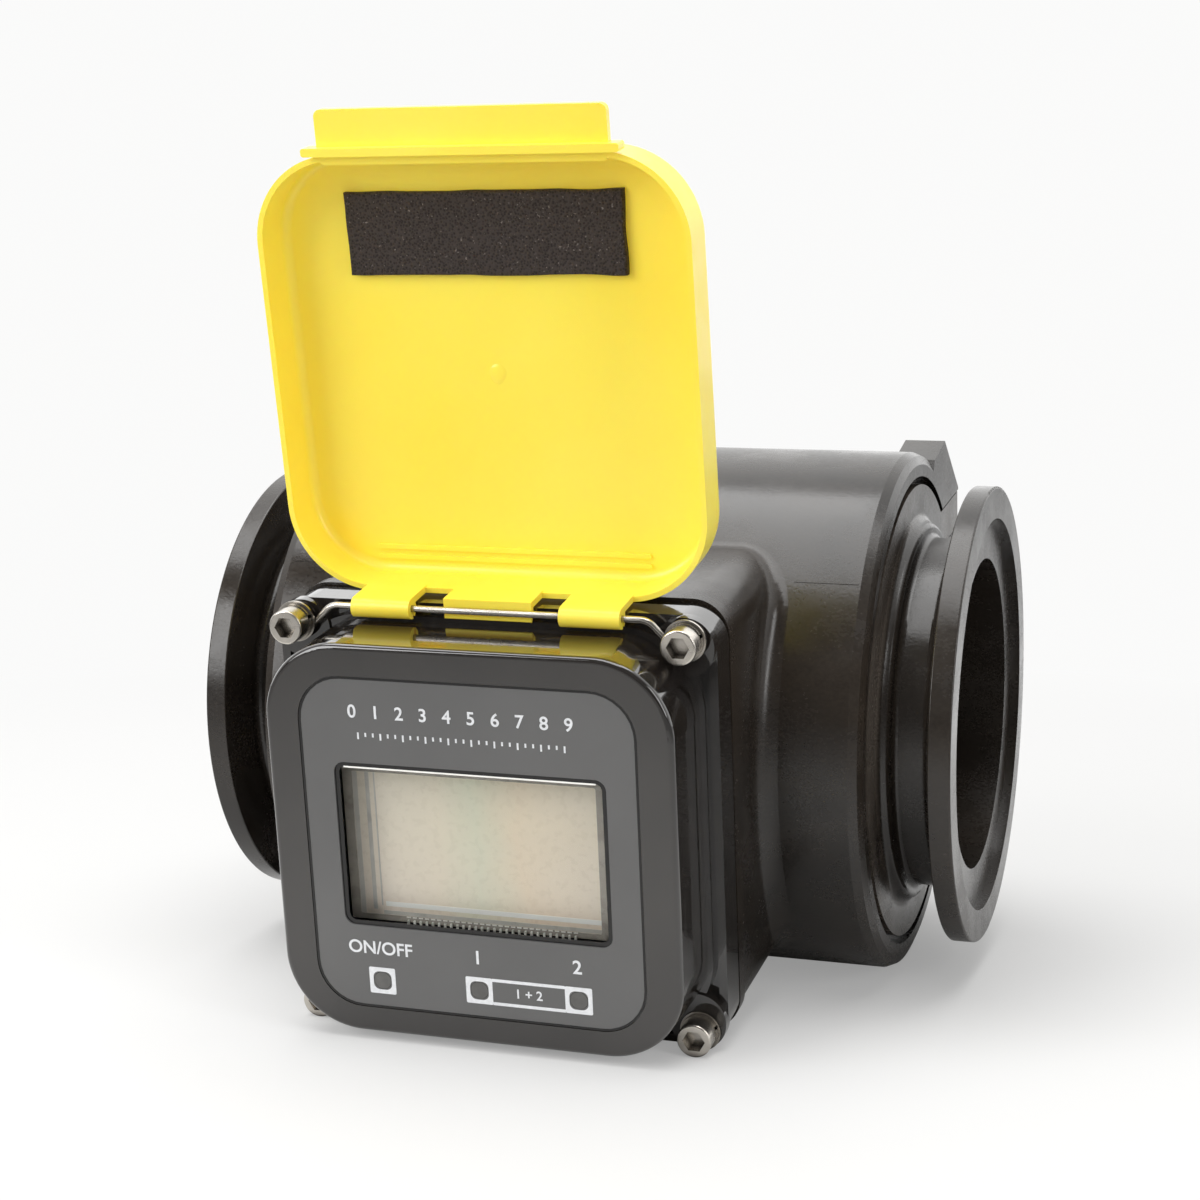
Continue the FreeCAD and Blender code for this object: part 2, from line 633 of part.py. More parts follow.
def make_electrode(name, side):
    """Round headed pin through the tube wall, drawn along the front or the rear."""
    body = new_body(name)
    head_top = bore_r + electrode_seat
    head_low = bore_r + 0.1
    end = liner_r + electrode_reach
    sketch = new_sketch(body, "StemOutline", LEVEL)
    draw_outline(sketch, [
        (0, head_low * side), (electrode_head_r, head_low * side),
        (electrode_head_r, head_top * side), (electrode_r, head_top * side),
        (electrode_r, end * side), (0, end * side),
    ])
    spin(body, "Revolution", "Electrode", sketch, "V_Axis")
    return body


def make_washer_ring(name, y_low, y_high, r_in, r_out):
    """A ring about the front to rear axis through the origin."""
    body = new_body(name)
    sketch = new_sketch(body, "RingProfile", LEVEL)
    draw_outline(sketch, [(r_in, y_low), (r_out, y_low), (r_out, y_high), (r_in, y_high)])
    spin(body, "Revolution", "Ring", sketch, "V_Axis")
    return body


def hexagon(flats):
    """Corners of a hexagon from its size across flats."""
    corner = 1 / math.sqrt(3)
    return [
        (flats * (corner * math.cos(math.radians(60 * n))),
         flats * (corner * math.sin(math.radians(60 * n)))) for n in range(6)
    ]


def make_electrode_nut(name, side):
    body = new_body(name)
    near = liner_r + electrode_seal
    start = near if side < 0 else -(near + electrode_nut)
    sketch = new_sketch(body, "NutOutline", FRONT, start)
    draw_outline(sketch, hexagon(nut_flats))
    pad(body, "Nut", sketch, electrode_nut)
    sketch = new_sketch(body, "NutHoleOutline", FRONT, start + electrode_nut)
    draw_circle(sketch, 0, 0, electrode_r)
    pocket(body, "NutHole", sketch, electrode_nut)
    return body


def make_saddle(name, side, half_x, half_y, outer_r, opening):
    """A plate or winding curved over the flow tube, above or below it."""
    body = new_body(name)
    sketch = new_sketch(body, "SaddleOutline", LEVEL)
    draw_round_box(sketch, 0, 0, half_x, half_y, coil_corner)
    if opening is not None:
        draw_round_box(sketch, 0, 0, half_x - opening, half_y - opening, coil_hole_corner)
    pad(body, "SaddleBlock", sketch, outer_r + 4, backward=side < 0)
    for word, r_low, r_high in (("Under", ZERO, liner_r), ("Over", outer_r, outer_r * 2)):
        sketch = new_sketch(body, "%sProfile" % word, LEVEL)
        span = half_x + 5
        draw_outline(sketch, [(-span, r_low), (span, r_low), (span, r_high), (-span, r_high)])
        spin(body, "Groove", word, sketch)
    return body


# Display cover and what it holds

def make_cover():
    body = new_body("display_cover")
    back = boss_front + joint_thick
    sketch = new_sketch(body, "RimOutline", FRONT, back)
    draw_round_box(sketch, 0, 0, rim_half_w, rim_half_h, rim_corner)
    pad(body, "Rim", sketch, rim_front - back)
    sketch = new_sketch(body, "RimBeadOutline", FRONT, rim_front)
    draw_round_box(sketch, 0, 0, rim_half_w, rim_half_h, rim_corner)
    draw_round_box(
        sketch, 0, 0, rim_half_w - bead_width, rim_half_h - bead_width, rim_corner - bead_width)
    pad(body, "RimBead", sketch, rim_bead)
    for side_x in (1, -1):
        for side_z in (1, -1):
            word = "%s%s" % ("Top" if side_z > 0 else "Low", "Right" if side_x > 0 else "Left")
            sketch = new_sketch(body, "Ear%sOutline" % word, FRONT, rim_front)
            draw_round_box(
                sketch, (rim_half_w - ear_half) * side_x, (rim_half_h - ear_half) * side_z,
                ear_half, ear_half, ear_half - 0.2,
            )
            pad(body, "Ear%s" % word, sketch, ear_front - rim_front)
    sketch = new_sketch(body, "StepOutline", FRONT, rim_front)
    draw_round_box(
        sketch, 0, 0, cover_half_w + step_width, cover_half_h + step_width, cover_corner)
    pad(body, "Step", sketch, step_height)
    sketch = new_sketch(body, "BodyOutline", FRONT, rim_front)
    draw_round_box(sketch, 0, 0, cover_half_w, cover_half_h, cover_corner)
    front = pad(body, "Body", sketch, body_depth)
    front.TaperAngle = -body_draft.value
    front.setExpression("TaperAngle", (-body_draft).formula)
    doc.recompute()
    round_edges(body, "FaceEdge", cover_edge, lambda edge: all_at(edge, 1, -cover_face.value))
    sketch = new_sketch(body, "LabelRecessOutline", FRONT, cover_face)
    draw_round_box(sketch, 0, label_z, label_half, label_half, label_corner)
    pocket(body, "LabelRecess", sketch, label_recess)
    sketch = new_sketch(body, "InsideOutline", FRONT, back)
    draw_round_box(
        sketch, 0, 0, cover_half_w - cover_wall, cover_half_h - cover_wall,
        cover_corner - cover_wall,
    )
    pocket(body, "Inside", sketch, inner_face - back, backward=True)
    sketch = new_sketch(body, "WindowOutline", FRONT, cover_face)
    draw_round_box(sketch, window_x, window_z, window_half_w, window_half_h, window_corner)
    pocket(body, "Window", sketch, cover_front_wall)
    sketch = new_sketch(body, "FingerHoleOutline", FRONT, cover_face)
    draw_circle(sketch, -finger_pitch, finger_z, finger_r)
    hole = pocket(body, "FingerHole", sketch, cover_front_wall)
    row = body.newObject("PartDesign::LinearPattern", "FingerHoleRow")
    row.Originals = [hole]
    row.Direction = (sketch, ["H_Axis"])
    row.Occurrences = 3
    row.Length = (finger_pitch * 2).value
    row.setExpression("Length", (finger_pitch * 2).formula)
    body.Tip = row
    doc.recompute()
    sketch = new_sketch(body, "ScrewHoleOutline", FRONT, ear_front)
    for x in (screw_x, -screw_x):
        for z in (screw_z, -screw_z):
            draw_circle(sketch, x, z, screw_r + screw_play)
    pocket(body, "ScrewHoles", sketch, ear_front - back)
    for word, start, end, radius in (
        ("Post", inner_face, board_front, post_r), ("Stake", board_front, board_back, stake_r),
    ):
        sketch = new_sketch(body, "%sOutline" % word, FRONT, start)
        for x in (post_x, -post_x):
            for z in (post_z, -post_z):
                draw_circle(sketch, x, z, radius)
        pad(body, "%sSet" % word, sketch, start - end, backward=True)
    return body


def make_plate(name, back, thick, outline, holes=(), windows=()):
    """A flat plate across the display axis with round holes and windows."""
    body = new_body(name)
    sketch = new_sketch(body, "PlateOutline", FRONT, back)
    draw_round_box(sketch, *outline)
    for window in windows:
        draw_round_box(sketch, *window)
    for x, z, radius in holes:
        draw_circle(sketch, x, z, radius)
    pad(body, "Plate", sketch, thick)
    return body


def make_display_frame():
    body = new_body("display_frame")
    front = display_back + display_thick + frame_lip
    sketch = new_sketch(body, "FrameOutline", FRONT, board_front)
    draw_round_box(
        sketch, window_x, window_z, display_half_w + frame_wall, display_half_h + frame_wall,
        dim(1.5))
    pad(body, "Frame", sketch, front - board_front)
    sketch = new_sketch(body, "GlassSeatOutline", FRONT, front)
    draw_round_box(
        sketch, window_x, window_z, display_half_w + label_play, display_half_h + label_play,
        dim(0.6))
    pocket(body, "GlassSeat", sketch, front - display_back)
    return body


def make_pin(name, along_y, x, z, radius, length):
    """A plain round pin along the display axis."""
    body = new_body(name)
    sketch = new_sketch(body, "PinOutline", FRONT, ZERO)
    draw_circle(sketch, 0, 0, radius)
    pad(body, "Pin", sketch, length)
    place(body, x, -along_y, z)
    return body


def make_cell(name, side):
    body = new_body(name)
    shoulder = cell_half - nub_len
    sketch = new_sketch(body, "CellProfile", LEVEL)
    draw_outline(sketch, [
        (-cell_half, 0), (cell_half, 0), (cell_half, nub_r), (shoulder, nub_r),
        (shoulder, cell_r - cell_edge), (shoulder - cell_edge, cell_r), (-cell_half, cell_r),
    ])
    spin(body, "Revolution", "Cell", sketch)
    place(body, 0, -cell_y, cell_z * side)
    return body


def make_cell_holder():
    body = new_body("battery_holder")
    floor = boss_front - chamber_depth
    seat = cell_y - cell_r
    end_half = tray_end * 0.5
    tray_half_h = cell_z + cell_r + tray_side
    sketch = new_sketch(body, "TrayOutline", FRONT, floor)
    draw_round_box(sketch, 0, 0, cell_half + tray_end, tray_half_h, dim(2))
    pad(body, "Tray", sketch, seat - floor)
    for word, side in (("Right", 1), ("Left", -1)):
        sketch = new_sketch(body, "End%sOutline" % word, FRONT, seat)
        draw_round_box(sketch, (cell_half + end_half) * side, 0, end_half, tray_half_h, dim(0.5))
        pad(body, "End%s" % word, sketch, cell_r * 2)
    sketch = new_sketch(body, "DividerOutline", FRONT, seat)
    draw_round_box(sketch, 0, 0, cell_half, cell_z - cell_r - tray_play, dim(0.5))
    pad(body, "Divider", sketch, cell_r)
    return body


# Fasteners and hinge wire

def make_screw(name, x, z, seat):
    """A socket head cap screw whose underside rests at the seat."""
    body = new_body(name)
    sketch = new_sketch(body, "HeadOutline", FRONT)
    draw_circle(sketch, 0, 0, screw_head_r)
    pad(body, "Head", sketch, screw_head_h)
    round_edges(body, "HeadEdge", dim(0.45), lambda edge: all_at(edge, 1, -screw_head_h.value))
    sketch = new_sketch(body, "SocketOutline", FRONT, screw_head_h)
    draw_outline(sketch, hexagon(socket_flats))
    pocket(body, "Socket", sketch, socket_depth)
    sketch = new_sketch(body, "ShankOutline", FRONT)
    draw_circle(sketch, 0, 0, screw_r)
    pad(body, "Shank", sketch, screw_len, backward=True)
    place(body, x, -seat, z)
    return body


def make_lock_washer(name, x, z, seat):
    """A square section ring with a slanted split."""
    body = new_body(name)
    sketch = new_sketch(body, "RingOutline", FRONT)
    draw_circle(sketch, 0, 0, spring_r)
    draw_circle(sketch, 0, 0, screw_r + screw_play * 0.5)
    pad(body, "Ring", sketch, spring_thick)
    sketch = new_sketch(body, "SplitOutline", FRONT, spring_thick)
    draw_outline(sketch, [
        (screw_r - 0.35, 0.6), (spring_r + 0.9, 1.4), (spring_r + 0.9, 2.2), (screw_r - 0.35, 1.4),
    ])
    pocket(body, "Split", sketch, spring_thick)
    place(body, x, -seat, z)
    return body


def make_flat_washer(name, x, z, seat):
    body = new_body(name)
    sketch = new_sketch(body, "RingOutline", FRONT)
    draw_circle(sketch, 0, 0, washer_r)
    draw_circle(sketch, 0, 0, screw_r + screw_play)
    pad(body, "Ring", sketch, washer_thick)
    place(body, x, -seat, z)
    return body


def make_wire():
    """Straight hinge wire with a bent leg and an eye at each end."""
    body = new_body("hinge_wire")
    plane = hinge_front
    sketch = new_sketch(body, "SpanProfile", SIDE, -wire_straight)
    draw_circle(sketch, -plane, hinge_z, wire_r)
    pad(body, "Span", sketch, wire_straight * 2)
    for side, word in ((1, "Right"), (-1, "Left")):
        sketch = new_sketch(body, "Leg%sPath" % word, FRONT, plane)
        start = Vector(wire_straight.value * side, hinge_z.value, 0)
        turn = math.radians(45)
        bend = wire_bend_r.value
        after = Vector(
            start.x + side * bend * math.sin(turn), start.y - bend * (1 - math.cos(turn)), 0
        )
        middle = Vector(
            start.x + side * bend * math.sin(turn / 2),
            start.y - bend * (1 - math.cos(turn / 2)), 0,
        )
        run = (screw_x - eye_r - wire_straight).value - bend * math.sin(turn)
        end = after + Vector(side * run, -run, 0)
        sketch.addGeometry(Part.Arc(start, middle, after), False)
        sketch.addGeometry(Part.LineSegment(after, end), False)
        for piece in (0, 1):
            sketch.addConstraint(Sketcher.Constraint("Block", piece))
        profile = new_sketch(body, "Leg%sProfile" % word, SIDE, wire_straight * side)
        draw_circle(profile, -plane, hinge_z, wire_r)
        doc.recompute()
        leg = body.newObject("PartDesign::AdditivePipe", "Leg%s" % word)
        leg.Profile = profile
        leg.Spine = (sketch, ["Edge1", "Edge2"])
        body.Tip = leg
        doc.recompute()
        sketch = new_sketch(body, "Eye%sProfile" % word, LEVEL, screw_z)
        draw_circle(sketch, (screw_x + eye_r) * side, -plane, wire_r)
        axis = Part.LineSegment(
            Vector(screw_x.value * side, -plane.value - 5, 0),
            Vector(screw_x.value * side, -plane.value + 5, 0),
        )
        sketch.addGeometry(axis, True)
        sketch.addConstraint(Sketcher.Constraint("Block", 1))
        spin(body, "Revolution", "Eye%s" % word, sketch, "Axis0")
    return body


# Lid, drawn upright with the hinge wire at its own origin

def hang_on_hinge(body):
    """Turn a lid part to its open rest pose on the wire."""
    body.Placement = Placement(Vector(), Rotation(Vector(1, 0, 0), lid_lean.value))
    body.setExpression("Placement.Rotation.Angle", lid_lean.formula)
    place(body, 0, -hinge_front, hinge_z)


def make_lid():
    body = new_body("lid")
    middle = (lid_far + lid_low) * 0.5
    half_h = (lid_far - lid_low) * 0.5
    back = lid_floor_y + lid_panel
    sketch = new_sketch(body, "LidOutline", FRONT, -back)
    draw_round_box(sketch, 0, middle, lid_half_w, half_h, lid_corner)
    pad(body, "Shell", sketch, lid_depth + lid_panel)
    round_edges(body, "BackEdge", lid_round, lambda edge: all_at(edge, 1, back.value))
    sketch = new_sketch(body, "InsideOutline", FRONT, -lid_rim_y)
    draw_round_box(
        sketch, 0, middle, lid_half_w - lid_wall, half_h - lid_wall, lid_corner - lid_wall
    )
    pocket(body, "Inside", sketch, lid_depth)
    floor_y = lid_floor_y.value
    round_edges(body, "InsideEdge", lid_fillet, lambda edge: all_at(edge, 1, floor_y))
    for number in range(2):
        sketch = new_sketch(body, "Ridge%dOutline" % (number + 1), FRONT, -lid_floor_y)
        height = lid_low + ridge_z + ridge_pitch * number
        draw_round_box(sketch, 0, height, lid_half_w - lid_corner + 3, dim(0.5), dim(0.4))
        pad(body, "Ridge%d" % (number + 1), sketch, ridge_height)
    arm_end = lid_rim_y + clip_root
    for side, word in ((1, "Right"), (-1, "Left")):
        start = clip_x * side - clip_half
        sketch = new_sketch(body, "Clip%sArm" % word, SIDE, start)
        draw_outline(sketch, [
            (arm_end, lid_low), (arm_end, clip_r), (0, clip_r), (0, lid_low),
        ])
        pad(body, "Clip%s" % word, sketch, clip_half * 2)
        sketch = new_sketch(body, "Clip%sBarrel" % word, SIDE, start)
        draw_circle(sketch, 0, 0, clip_r)
        pad(body, "Clip%sRound" % word, sketch, clip_half * 2)
    sketch = new_sketch(body, "TongueOutline", SIDE, -tongue_half)
    draw_outline(sketch, [
        (arm_end, lid_low), (arm_end, clip_r), (wire_r + tongue_gap, clip_r),
        (wire_r + tongue_gap, -tongue_end), (clip_r, -tongue_end), (clip_r, lid_low),
    ])
    pad(body, "Tongue", sketch, tongue_half * 2)
    sketch = new_sketch(body, "WireBoreOutline", SIDE, -wire_straight)
    draw_circle(sketch, 0, 0, wire_r + clip_play)
    pocket(body, "WireBore", sketch, wire_straight * 2, backward=True)
    sketch = new_sketch(body, "ClipMouthOutline", SIDE, -wire_straight)
    draw_outline(sketch, [
        (0.2, -clip_r * 2), (wire_r + 0.3, -clip_r * 2), (wire_r + 0.3, -0.4), (0.2, -0.4),
    ])
    pocket(body, "ClipMouth", sketch, wire_straight * 2, backward=True)
    sketch = new_sketch(body, "PullOutline", FRONT, -(lid_rim_y + pull_thick))
    draw_round_box(
        sketch, 0, lid_far + pull_height * 0.5 - 1, pull_half, pull_height * 0.5 + 1, dim(1.6)
    )
    pad(body, "Pull", sketch, pull_thick)
    sketch = new_sketch(body, "LedgeOutline", FRONT, -(lid_rim_y + pull_thick))
    draw_round_box(sketch, 0, lid_far + 0.9, ledge_half, dim(0.9), dim(0.6))
    pad(body, "Ledge", sketch, ledge_reach)
    hang_on_hinge(body)
    return body


def make_foam():
    body = new_body("foam_pad")
    sketch = new_sketch(body, "FoamOutline", FRONT, -lid_floor_y)
    draw_round_box(sketch, 0, foam_z, foam_half_w, foam_half_h, dim(0.4))
    pad(body, "Foam", sketch, foam_thick)
    hang_on_hinge(body)
    return body


# Build every sub-part
nodes = [make_housing(), make_liner()]
for label, side in (("outlet", 1), ("inlet", -1)):
    nodes.append(make_adapter("%s_adapter" % label, side))
    nodes.append(make_tube_seal("%s_tube_seal" % label, side))
for label, side in (("front", -1), ("rear", 1)):
    near, far = liner_r * side, (liner_r + electrode_seal) * side
    nodes.append(make_electrode("electrode_%s" % label, side))
    nodes.append(make_washer_ring("electrode_seal_%s" % label, near, far, electrode_r, nut_flats * 0.5))
    nodes.append(make_electrode_nut("electrode_nut_%s" % label, side))
for label, side in (("upper", 1), ("lower", -1)):
    nodes.append(make_saddle(
        "coil_%s" % label, side, coil_half_x, coil_half_y, coil_r, coil_winding))
    nodes.append(make_saddle(
        "pole_shoe_%s" % label, side, coil_half_x - coil_winding - shoe_gap,
        coil_half_y - coil_winding - shoe_gap, shoe_r, None))
nodes.append(make_ring("return_band", -band_half_x, band_half_x, band_in_r, barrel_in_r))

nodes.append(make_cover())
four_holes = [
    (screw_x * side_x, screw_z * side_z, screw_r + screw_play) for side_x in (1, -1) for side_z in (1, -1)
]
nodes.append(make_plate(
    "cover_gasket", boss_front, joint_thick,
    (0, 0, rim_half_w - 0.8, rim_half_h - 0.6, rim_corner - 0.8), four_holes,
    [(0, 0, chamber_half_w, chamber_half_h, chamber_corner)],
))
finger_holes = [
    (finger_pitch * step, finger_z, finger_r + label_play) for step in (-1, 0, 1)
]
nodes.append(make_plate(
    "label_panel", cover_face - label_recess, label_thick,
    (0, label_z, label_half - label_play, label_half - label_play, label_corner - label_play),
    finger_holes, [(window_x, window_z, window_half_w, window_half_h, window_corner)],
))
nodes.append(make_plate(
    "window_pane", inner_face - pane_thick, pane_thick,
    (window_x, window_z, window_half_w + pane_lap, window_half_h + pane_lap, dim(1.5)),
))
nodes.append(make_display_frame())
nodes.append(make_plate(
    "display_glass", display_back, display_thick,
    (window_x, window_z, display_half_w, display_half_h, dim(0.5)),
))
board_holes = [
    (post_x * side_x, post_z * side_z, stake_r) for side_x in (1, -1) for side_z in (1, -1)
]
nodes.append(make_plate(
    "circuit_board", board_back, board_thick,
    (0, 0, board_half_w, board_half_h, cover_corner - cover_wall - board_play), board_holes,
))
for label, step in (("left", -1), ("middle", 0), ("right", 1)):
    nodes.append(make_pin(
        "finger_lens_%s" % label, inner_face, finger_pitch * step, finger_z,
        finger_r, cover_front_wall - label_recess + label_thick))
nodes.append(make_cell("battery_cell_upper", 1))
nodes.append(make_cell("battery_cell_lower", -1))
nodes.append(make_cell_holder())

grommet = make_plate(
    "lead_grommet", barrel_in_r + 0.6, boss_front - chamber_depth - barrel_in_r - 0.6,
    (lead_x, 0, lead_r, lead_r, lead_r - 0.001), [(lead_x, 0, lead_bore)])
nodes.append(grommet)

nodes.append(make_wire())
for row, side_z in (("upper", 1), ("lower", -1)):
    stack = ear_front + (wire_r * 2 if side_z > 0 else 0)
    for column, side_x in (("left", -1), ("right", 1)):
        spot = (screw_x * side_x, screw_z * side_z)
        suffix = "%s_%s" % (row, column)
        nodes.append(make_flat_washer("flat_washer_%s" % suffix, *spot, stack))
        nodes.append(make_lock_washer("lock_washer_%s" % suffix, *spot, stack + washer_thick))
        nodes.append(make_screw(
            "cover_screw_%s" % suffix, *spot, stack + washer_thick + spring_thick))
nodes.append(make_lid())
nodes.append(make_foam())
doc.recompute()

# Check every object, then write one file for each node
for thing in doc.Objects:
    if "Invalid" in thing.State or "Error" in thing.State:
        raise ValueError("%s did not compute" % thing.Label)
for node in nodes:
    if node.Shape.isNull() or not node.Shape.isValid() or len(node.Shape.Solids) != 1:
        raise ValueError("%s is not one sound solid" % node.Label)

os.makedirs("parts", exist_ok=True)
for node in nodes:
    node.Shape.exportStep("parts/%s.step" % node.Label)
print("wrote %d parts" % len(nodes))
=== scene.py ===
import json
import math

import bpy
from mathutils import Matrix, Vector, noise


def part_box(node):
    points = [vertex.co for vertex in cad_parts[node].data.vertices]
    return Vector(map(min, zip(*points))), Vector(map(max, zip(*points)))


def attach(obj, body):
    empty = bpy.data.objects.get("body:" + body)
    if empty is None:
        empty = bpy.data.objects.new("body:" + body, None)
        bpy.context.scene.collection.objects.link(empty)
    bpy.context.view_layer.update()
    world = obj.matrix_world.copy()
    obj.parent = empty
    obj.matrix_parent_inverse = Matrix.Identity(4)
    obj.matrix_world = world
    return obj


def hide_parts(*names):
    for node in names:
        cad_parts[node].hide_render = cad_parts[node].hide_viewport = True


# An inline flow meter with a square display box and a flip-up lid.
# X runs along the pipe, the display faces minus Y and Z is up.
# Lengths here are in metres; MM turns millimetres into them.

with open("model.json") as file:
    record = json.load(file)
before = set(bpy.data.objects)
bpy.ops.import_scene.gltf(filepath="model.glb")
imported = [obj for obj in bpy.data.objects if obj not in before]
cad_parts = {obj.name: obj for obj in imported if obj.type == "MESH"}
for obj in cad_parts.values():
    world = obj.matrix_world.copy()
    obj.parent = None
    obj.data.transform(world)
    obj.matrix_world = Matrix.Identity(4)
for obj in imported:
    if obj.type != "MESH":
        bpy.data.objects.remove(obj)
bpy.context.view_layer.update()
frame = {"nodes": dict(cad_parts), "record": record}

MM = 0.001
METER = "meter"
LID = "lid"
nodes = frame["nodes"]

# Camera of the photograph

CAMERA_AT = Vector((180.434, -545.373, 183.114)) * MM
CAMERA_TO = Vector((-7.242, 0.0, 24.498)) * MM
CAMERA_ROLL = math.radians(-2.566)
CAMERA_LENS = 69.92
CAMERA_SENSOR = 36.0
CAMERA_NEAR = 0.01
CAMERA_FAR = 20.0

# Places on the meter, from the nodes that carry it

barrel_low, barrel_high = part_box("barrel_housing")
label_low, label_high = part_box("label_panel")
glass_low, glass_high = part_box("display_glass")
window_low, window_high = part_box("window_pane")
BARREL_RADIUS = -barrel_low.z
LABEL_FACE = label_low.y
GLASS_FACE = glass_low.y
LENS_WORDS = ("left", "middle", "right")
lenses = [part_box("finger_lens_" + word) for word in LENS_WORDS]
lens_low, lens_high = lenses[0]
LENS_X = [(low.x + high.x) / 2 for low, high in lenses]
LENS_Z = (lens_low.z + lens_high.z) / 2

# The lid's own frame: its origin lies on the hinge and its panel stands upright

HINGE = Vector(frame["record"]["behaviour"]["joints"][0]["pos_m"])
LID_TURN = Matrix.Rotation(math.radians(4.5), 3, "X")
LID_THICK = 1.7 * MM


def on_lid(x, y, z):
    """The scene's place for a place in the lid's own frame."""
    return HINGE + LID_TURN @ Vector((x, y, z))


def lid_box(name):
    """Lowest and highest corners of a node of the lid, in the lid's own frame."""
    back = LID_TURN.inverted()
    points = [back @ (vertex.co - HINGE) for vertex in nodes[name].data.vertices]
    low = Vector([min(point[axis] for point in points) for axis in range(3)])
    high = Vector([max(point[axis] for point in points) for axis in range(3)])
    return low, high


# Node helpers

# Most of a noise lies between these two values.
NOISE_LOW = 0.3
NOISE_HIGH = 0.7

# The Mix node has sockets of one name for numbers and for colours, so they go by their place.
NUMBER_A = 2
NUMBER_B = 3
NUMBER_OUT = 0
COLOUR_A = 6
COLOUR_B = 7
COLOUR_OUT = 2


class Nodes:
    """A node tree with short ways to add nodes and to join them."""

    def __init__(self, tree):
        self.tree = tree

    def add(self, kind, **settings):
        """A new node of a kind, with its settings."""
        node = self.tree.nodes.new(kind)
        for key, value in settings.items():
            setattr(node, key, value)
        return node

    def feed(self, socket, value):
        """Give a socket a number or a colour, or link an output to it."""
        if isinstance(value, (int, float)):
            socket.default_value = value
        elif isinstance(value, tuple):
            socket.default_value = (*value, 1.0)
        else:
            self.tree.links.new(value, socket)

    def split(self, vector):
        """Outputs X, Y and Z of a vector."""
        node = self.add("ShaderNodeSeparateXYZ")
        self.feed(node.inputs["Vector"], vector)
        return node.outputs

    def combine(self, operation, first, second=0.0):
        """One number made from two by an operation of the Math node."""
        node = self.add("ShaderNodeMath", operation=operation)
        self.feed(node.inputs[0], first)
        self.feed(node.inputs[1], second)
        return node.outputs["Value"]

    def span(self, value, low_in, high_in, low_out, high_out):
        """A number mapped from one range to another, and held at its ends."""
        node = self.add("ShaderNodeMapRange")
        self.feed(node.inputs["Value"], value)
        self.feed(node.inputs["From Min"], low_in)
        self.feed(node.inputs["From Max"], high_in)
        self.feed(node.inputs["To Min"], low_out)
        self.feed(node.inputs["To Max"], high_out)
        return node.outputs["Result"]

    def mix_numbers(self, factor, first, second):
        """A number between two, by a factor."""
        node = self.add("ShaderNodeMix")
        self.feed(node.inputs["Factor"], factor)
        self.feed(node.inputs[NUMBER_A], first)
        self.feed(node.inputs[NUMBER_B], second)
        return node.outputs[NUMBER_OUT]

    def mix_colours(self, factor, first, second, blend="MIX"):
        """A colour between two, by a factor and a way to blend them."""
        node = self.add("ShaderNodeMix", data_type="RGBA", blend_type=blend)
        self.feed(node.inputs["Factor"], factor)
        self.feed(node.inputs[COLOUR_A], first)
        self.feed(node.inputs[COLOUR_B], second)
        return node.outputs[COLOUR_OUT]


class Shader(Nodes):
    """A material with one principled surface, patterned along the object's own coordinates."""

    def __init__(self, name):
        self.material = bpy.data.materials.new(name)
        self.material.use_nodes = True
        super().__init__(self.material.node_tree)
        self.surface = self.tree.nodes["Principled BSDF"]
        self.place = self.add("ShaderNodeTexCoord").outputs["Object"]

    def set(self, key, value):
        """Give the surface a value, or link an output to it."""
        self.feed(self.surface.inputs[key], value)

    def noise(self, scale, detail=4.0, roughness=0.55, stretch=(1, 1, 1)):
        """A cloud of noise with the given number of lumps a metre."""
        mapping = self.add("ShaderNodeMapping")
        mapping.inputs["Scale"].default_value = stretch
        self.feed(mapping.inputs["Vector"], self.place)
        node = self.add("ShaderNodeTexNoise")
        self.feed(node.inputs["Scale"], scale)
        self.feed(node.inputs["Detail"], detail)
        self.feed(node.inputs["Roughness"], roughness)
        self.feed(node.inputs["Vector"], mapping.outputs["Vector"])
        return node.outputs["Fac"]

    def ramp(self, value, stops):
        """Colours along a value, each stop a place and a colour."""
        node = self.add("ShaderNodeValToRGB")
        elements = node.color_ramp.elements
        while len(elements) < len(stops):
            elements.new(0.5)
        for element, (position, colour) in zip(elements, stops):
            element.position = position
            element.color = (*colour, 1.0)
        self.feed(node.inputs["Fac"], value)
        return node.outputs["Color"]

    def between(self, value, low, high):
        """A colour or a number that a noise moves between two."""
        if isinstance(low, tuple):
            return self.ramp(value, [(NOISE_LOW, low), (NOISE_HIGH, high)])
        return self.span(value, NOISE_LOW, NOISE_HIGH, low, high)

    def bump(self, height, strength, distance):
        """Raise and lower the surface by a height of the given distance."""
        node = self.add("ShaderNodeBump")
        self.feed(node.inputs["Strength"], strength)
        self.feed(node.inputs["Distance"], distance)
        self.feed(node.inputs["Height"], height)
        self.set("Normal", node.outputs["Normal"])


# Materials

MOULD_FLOW = (0.7, 1, 1)
MOULD_ROUGH_LOW = 0.17
MOULD_ROUGH_HIGH = 0.35
MOULD_DUST = 0.5
RUB_FULL = barrel_high.x + 0.2 * MM
RUB_END = barrel_high.x + 0.8 * MM


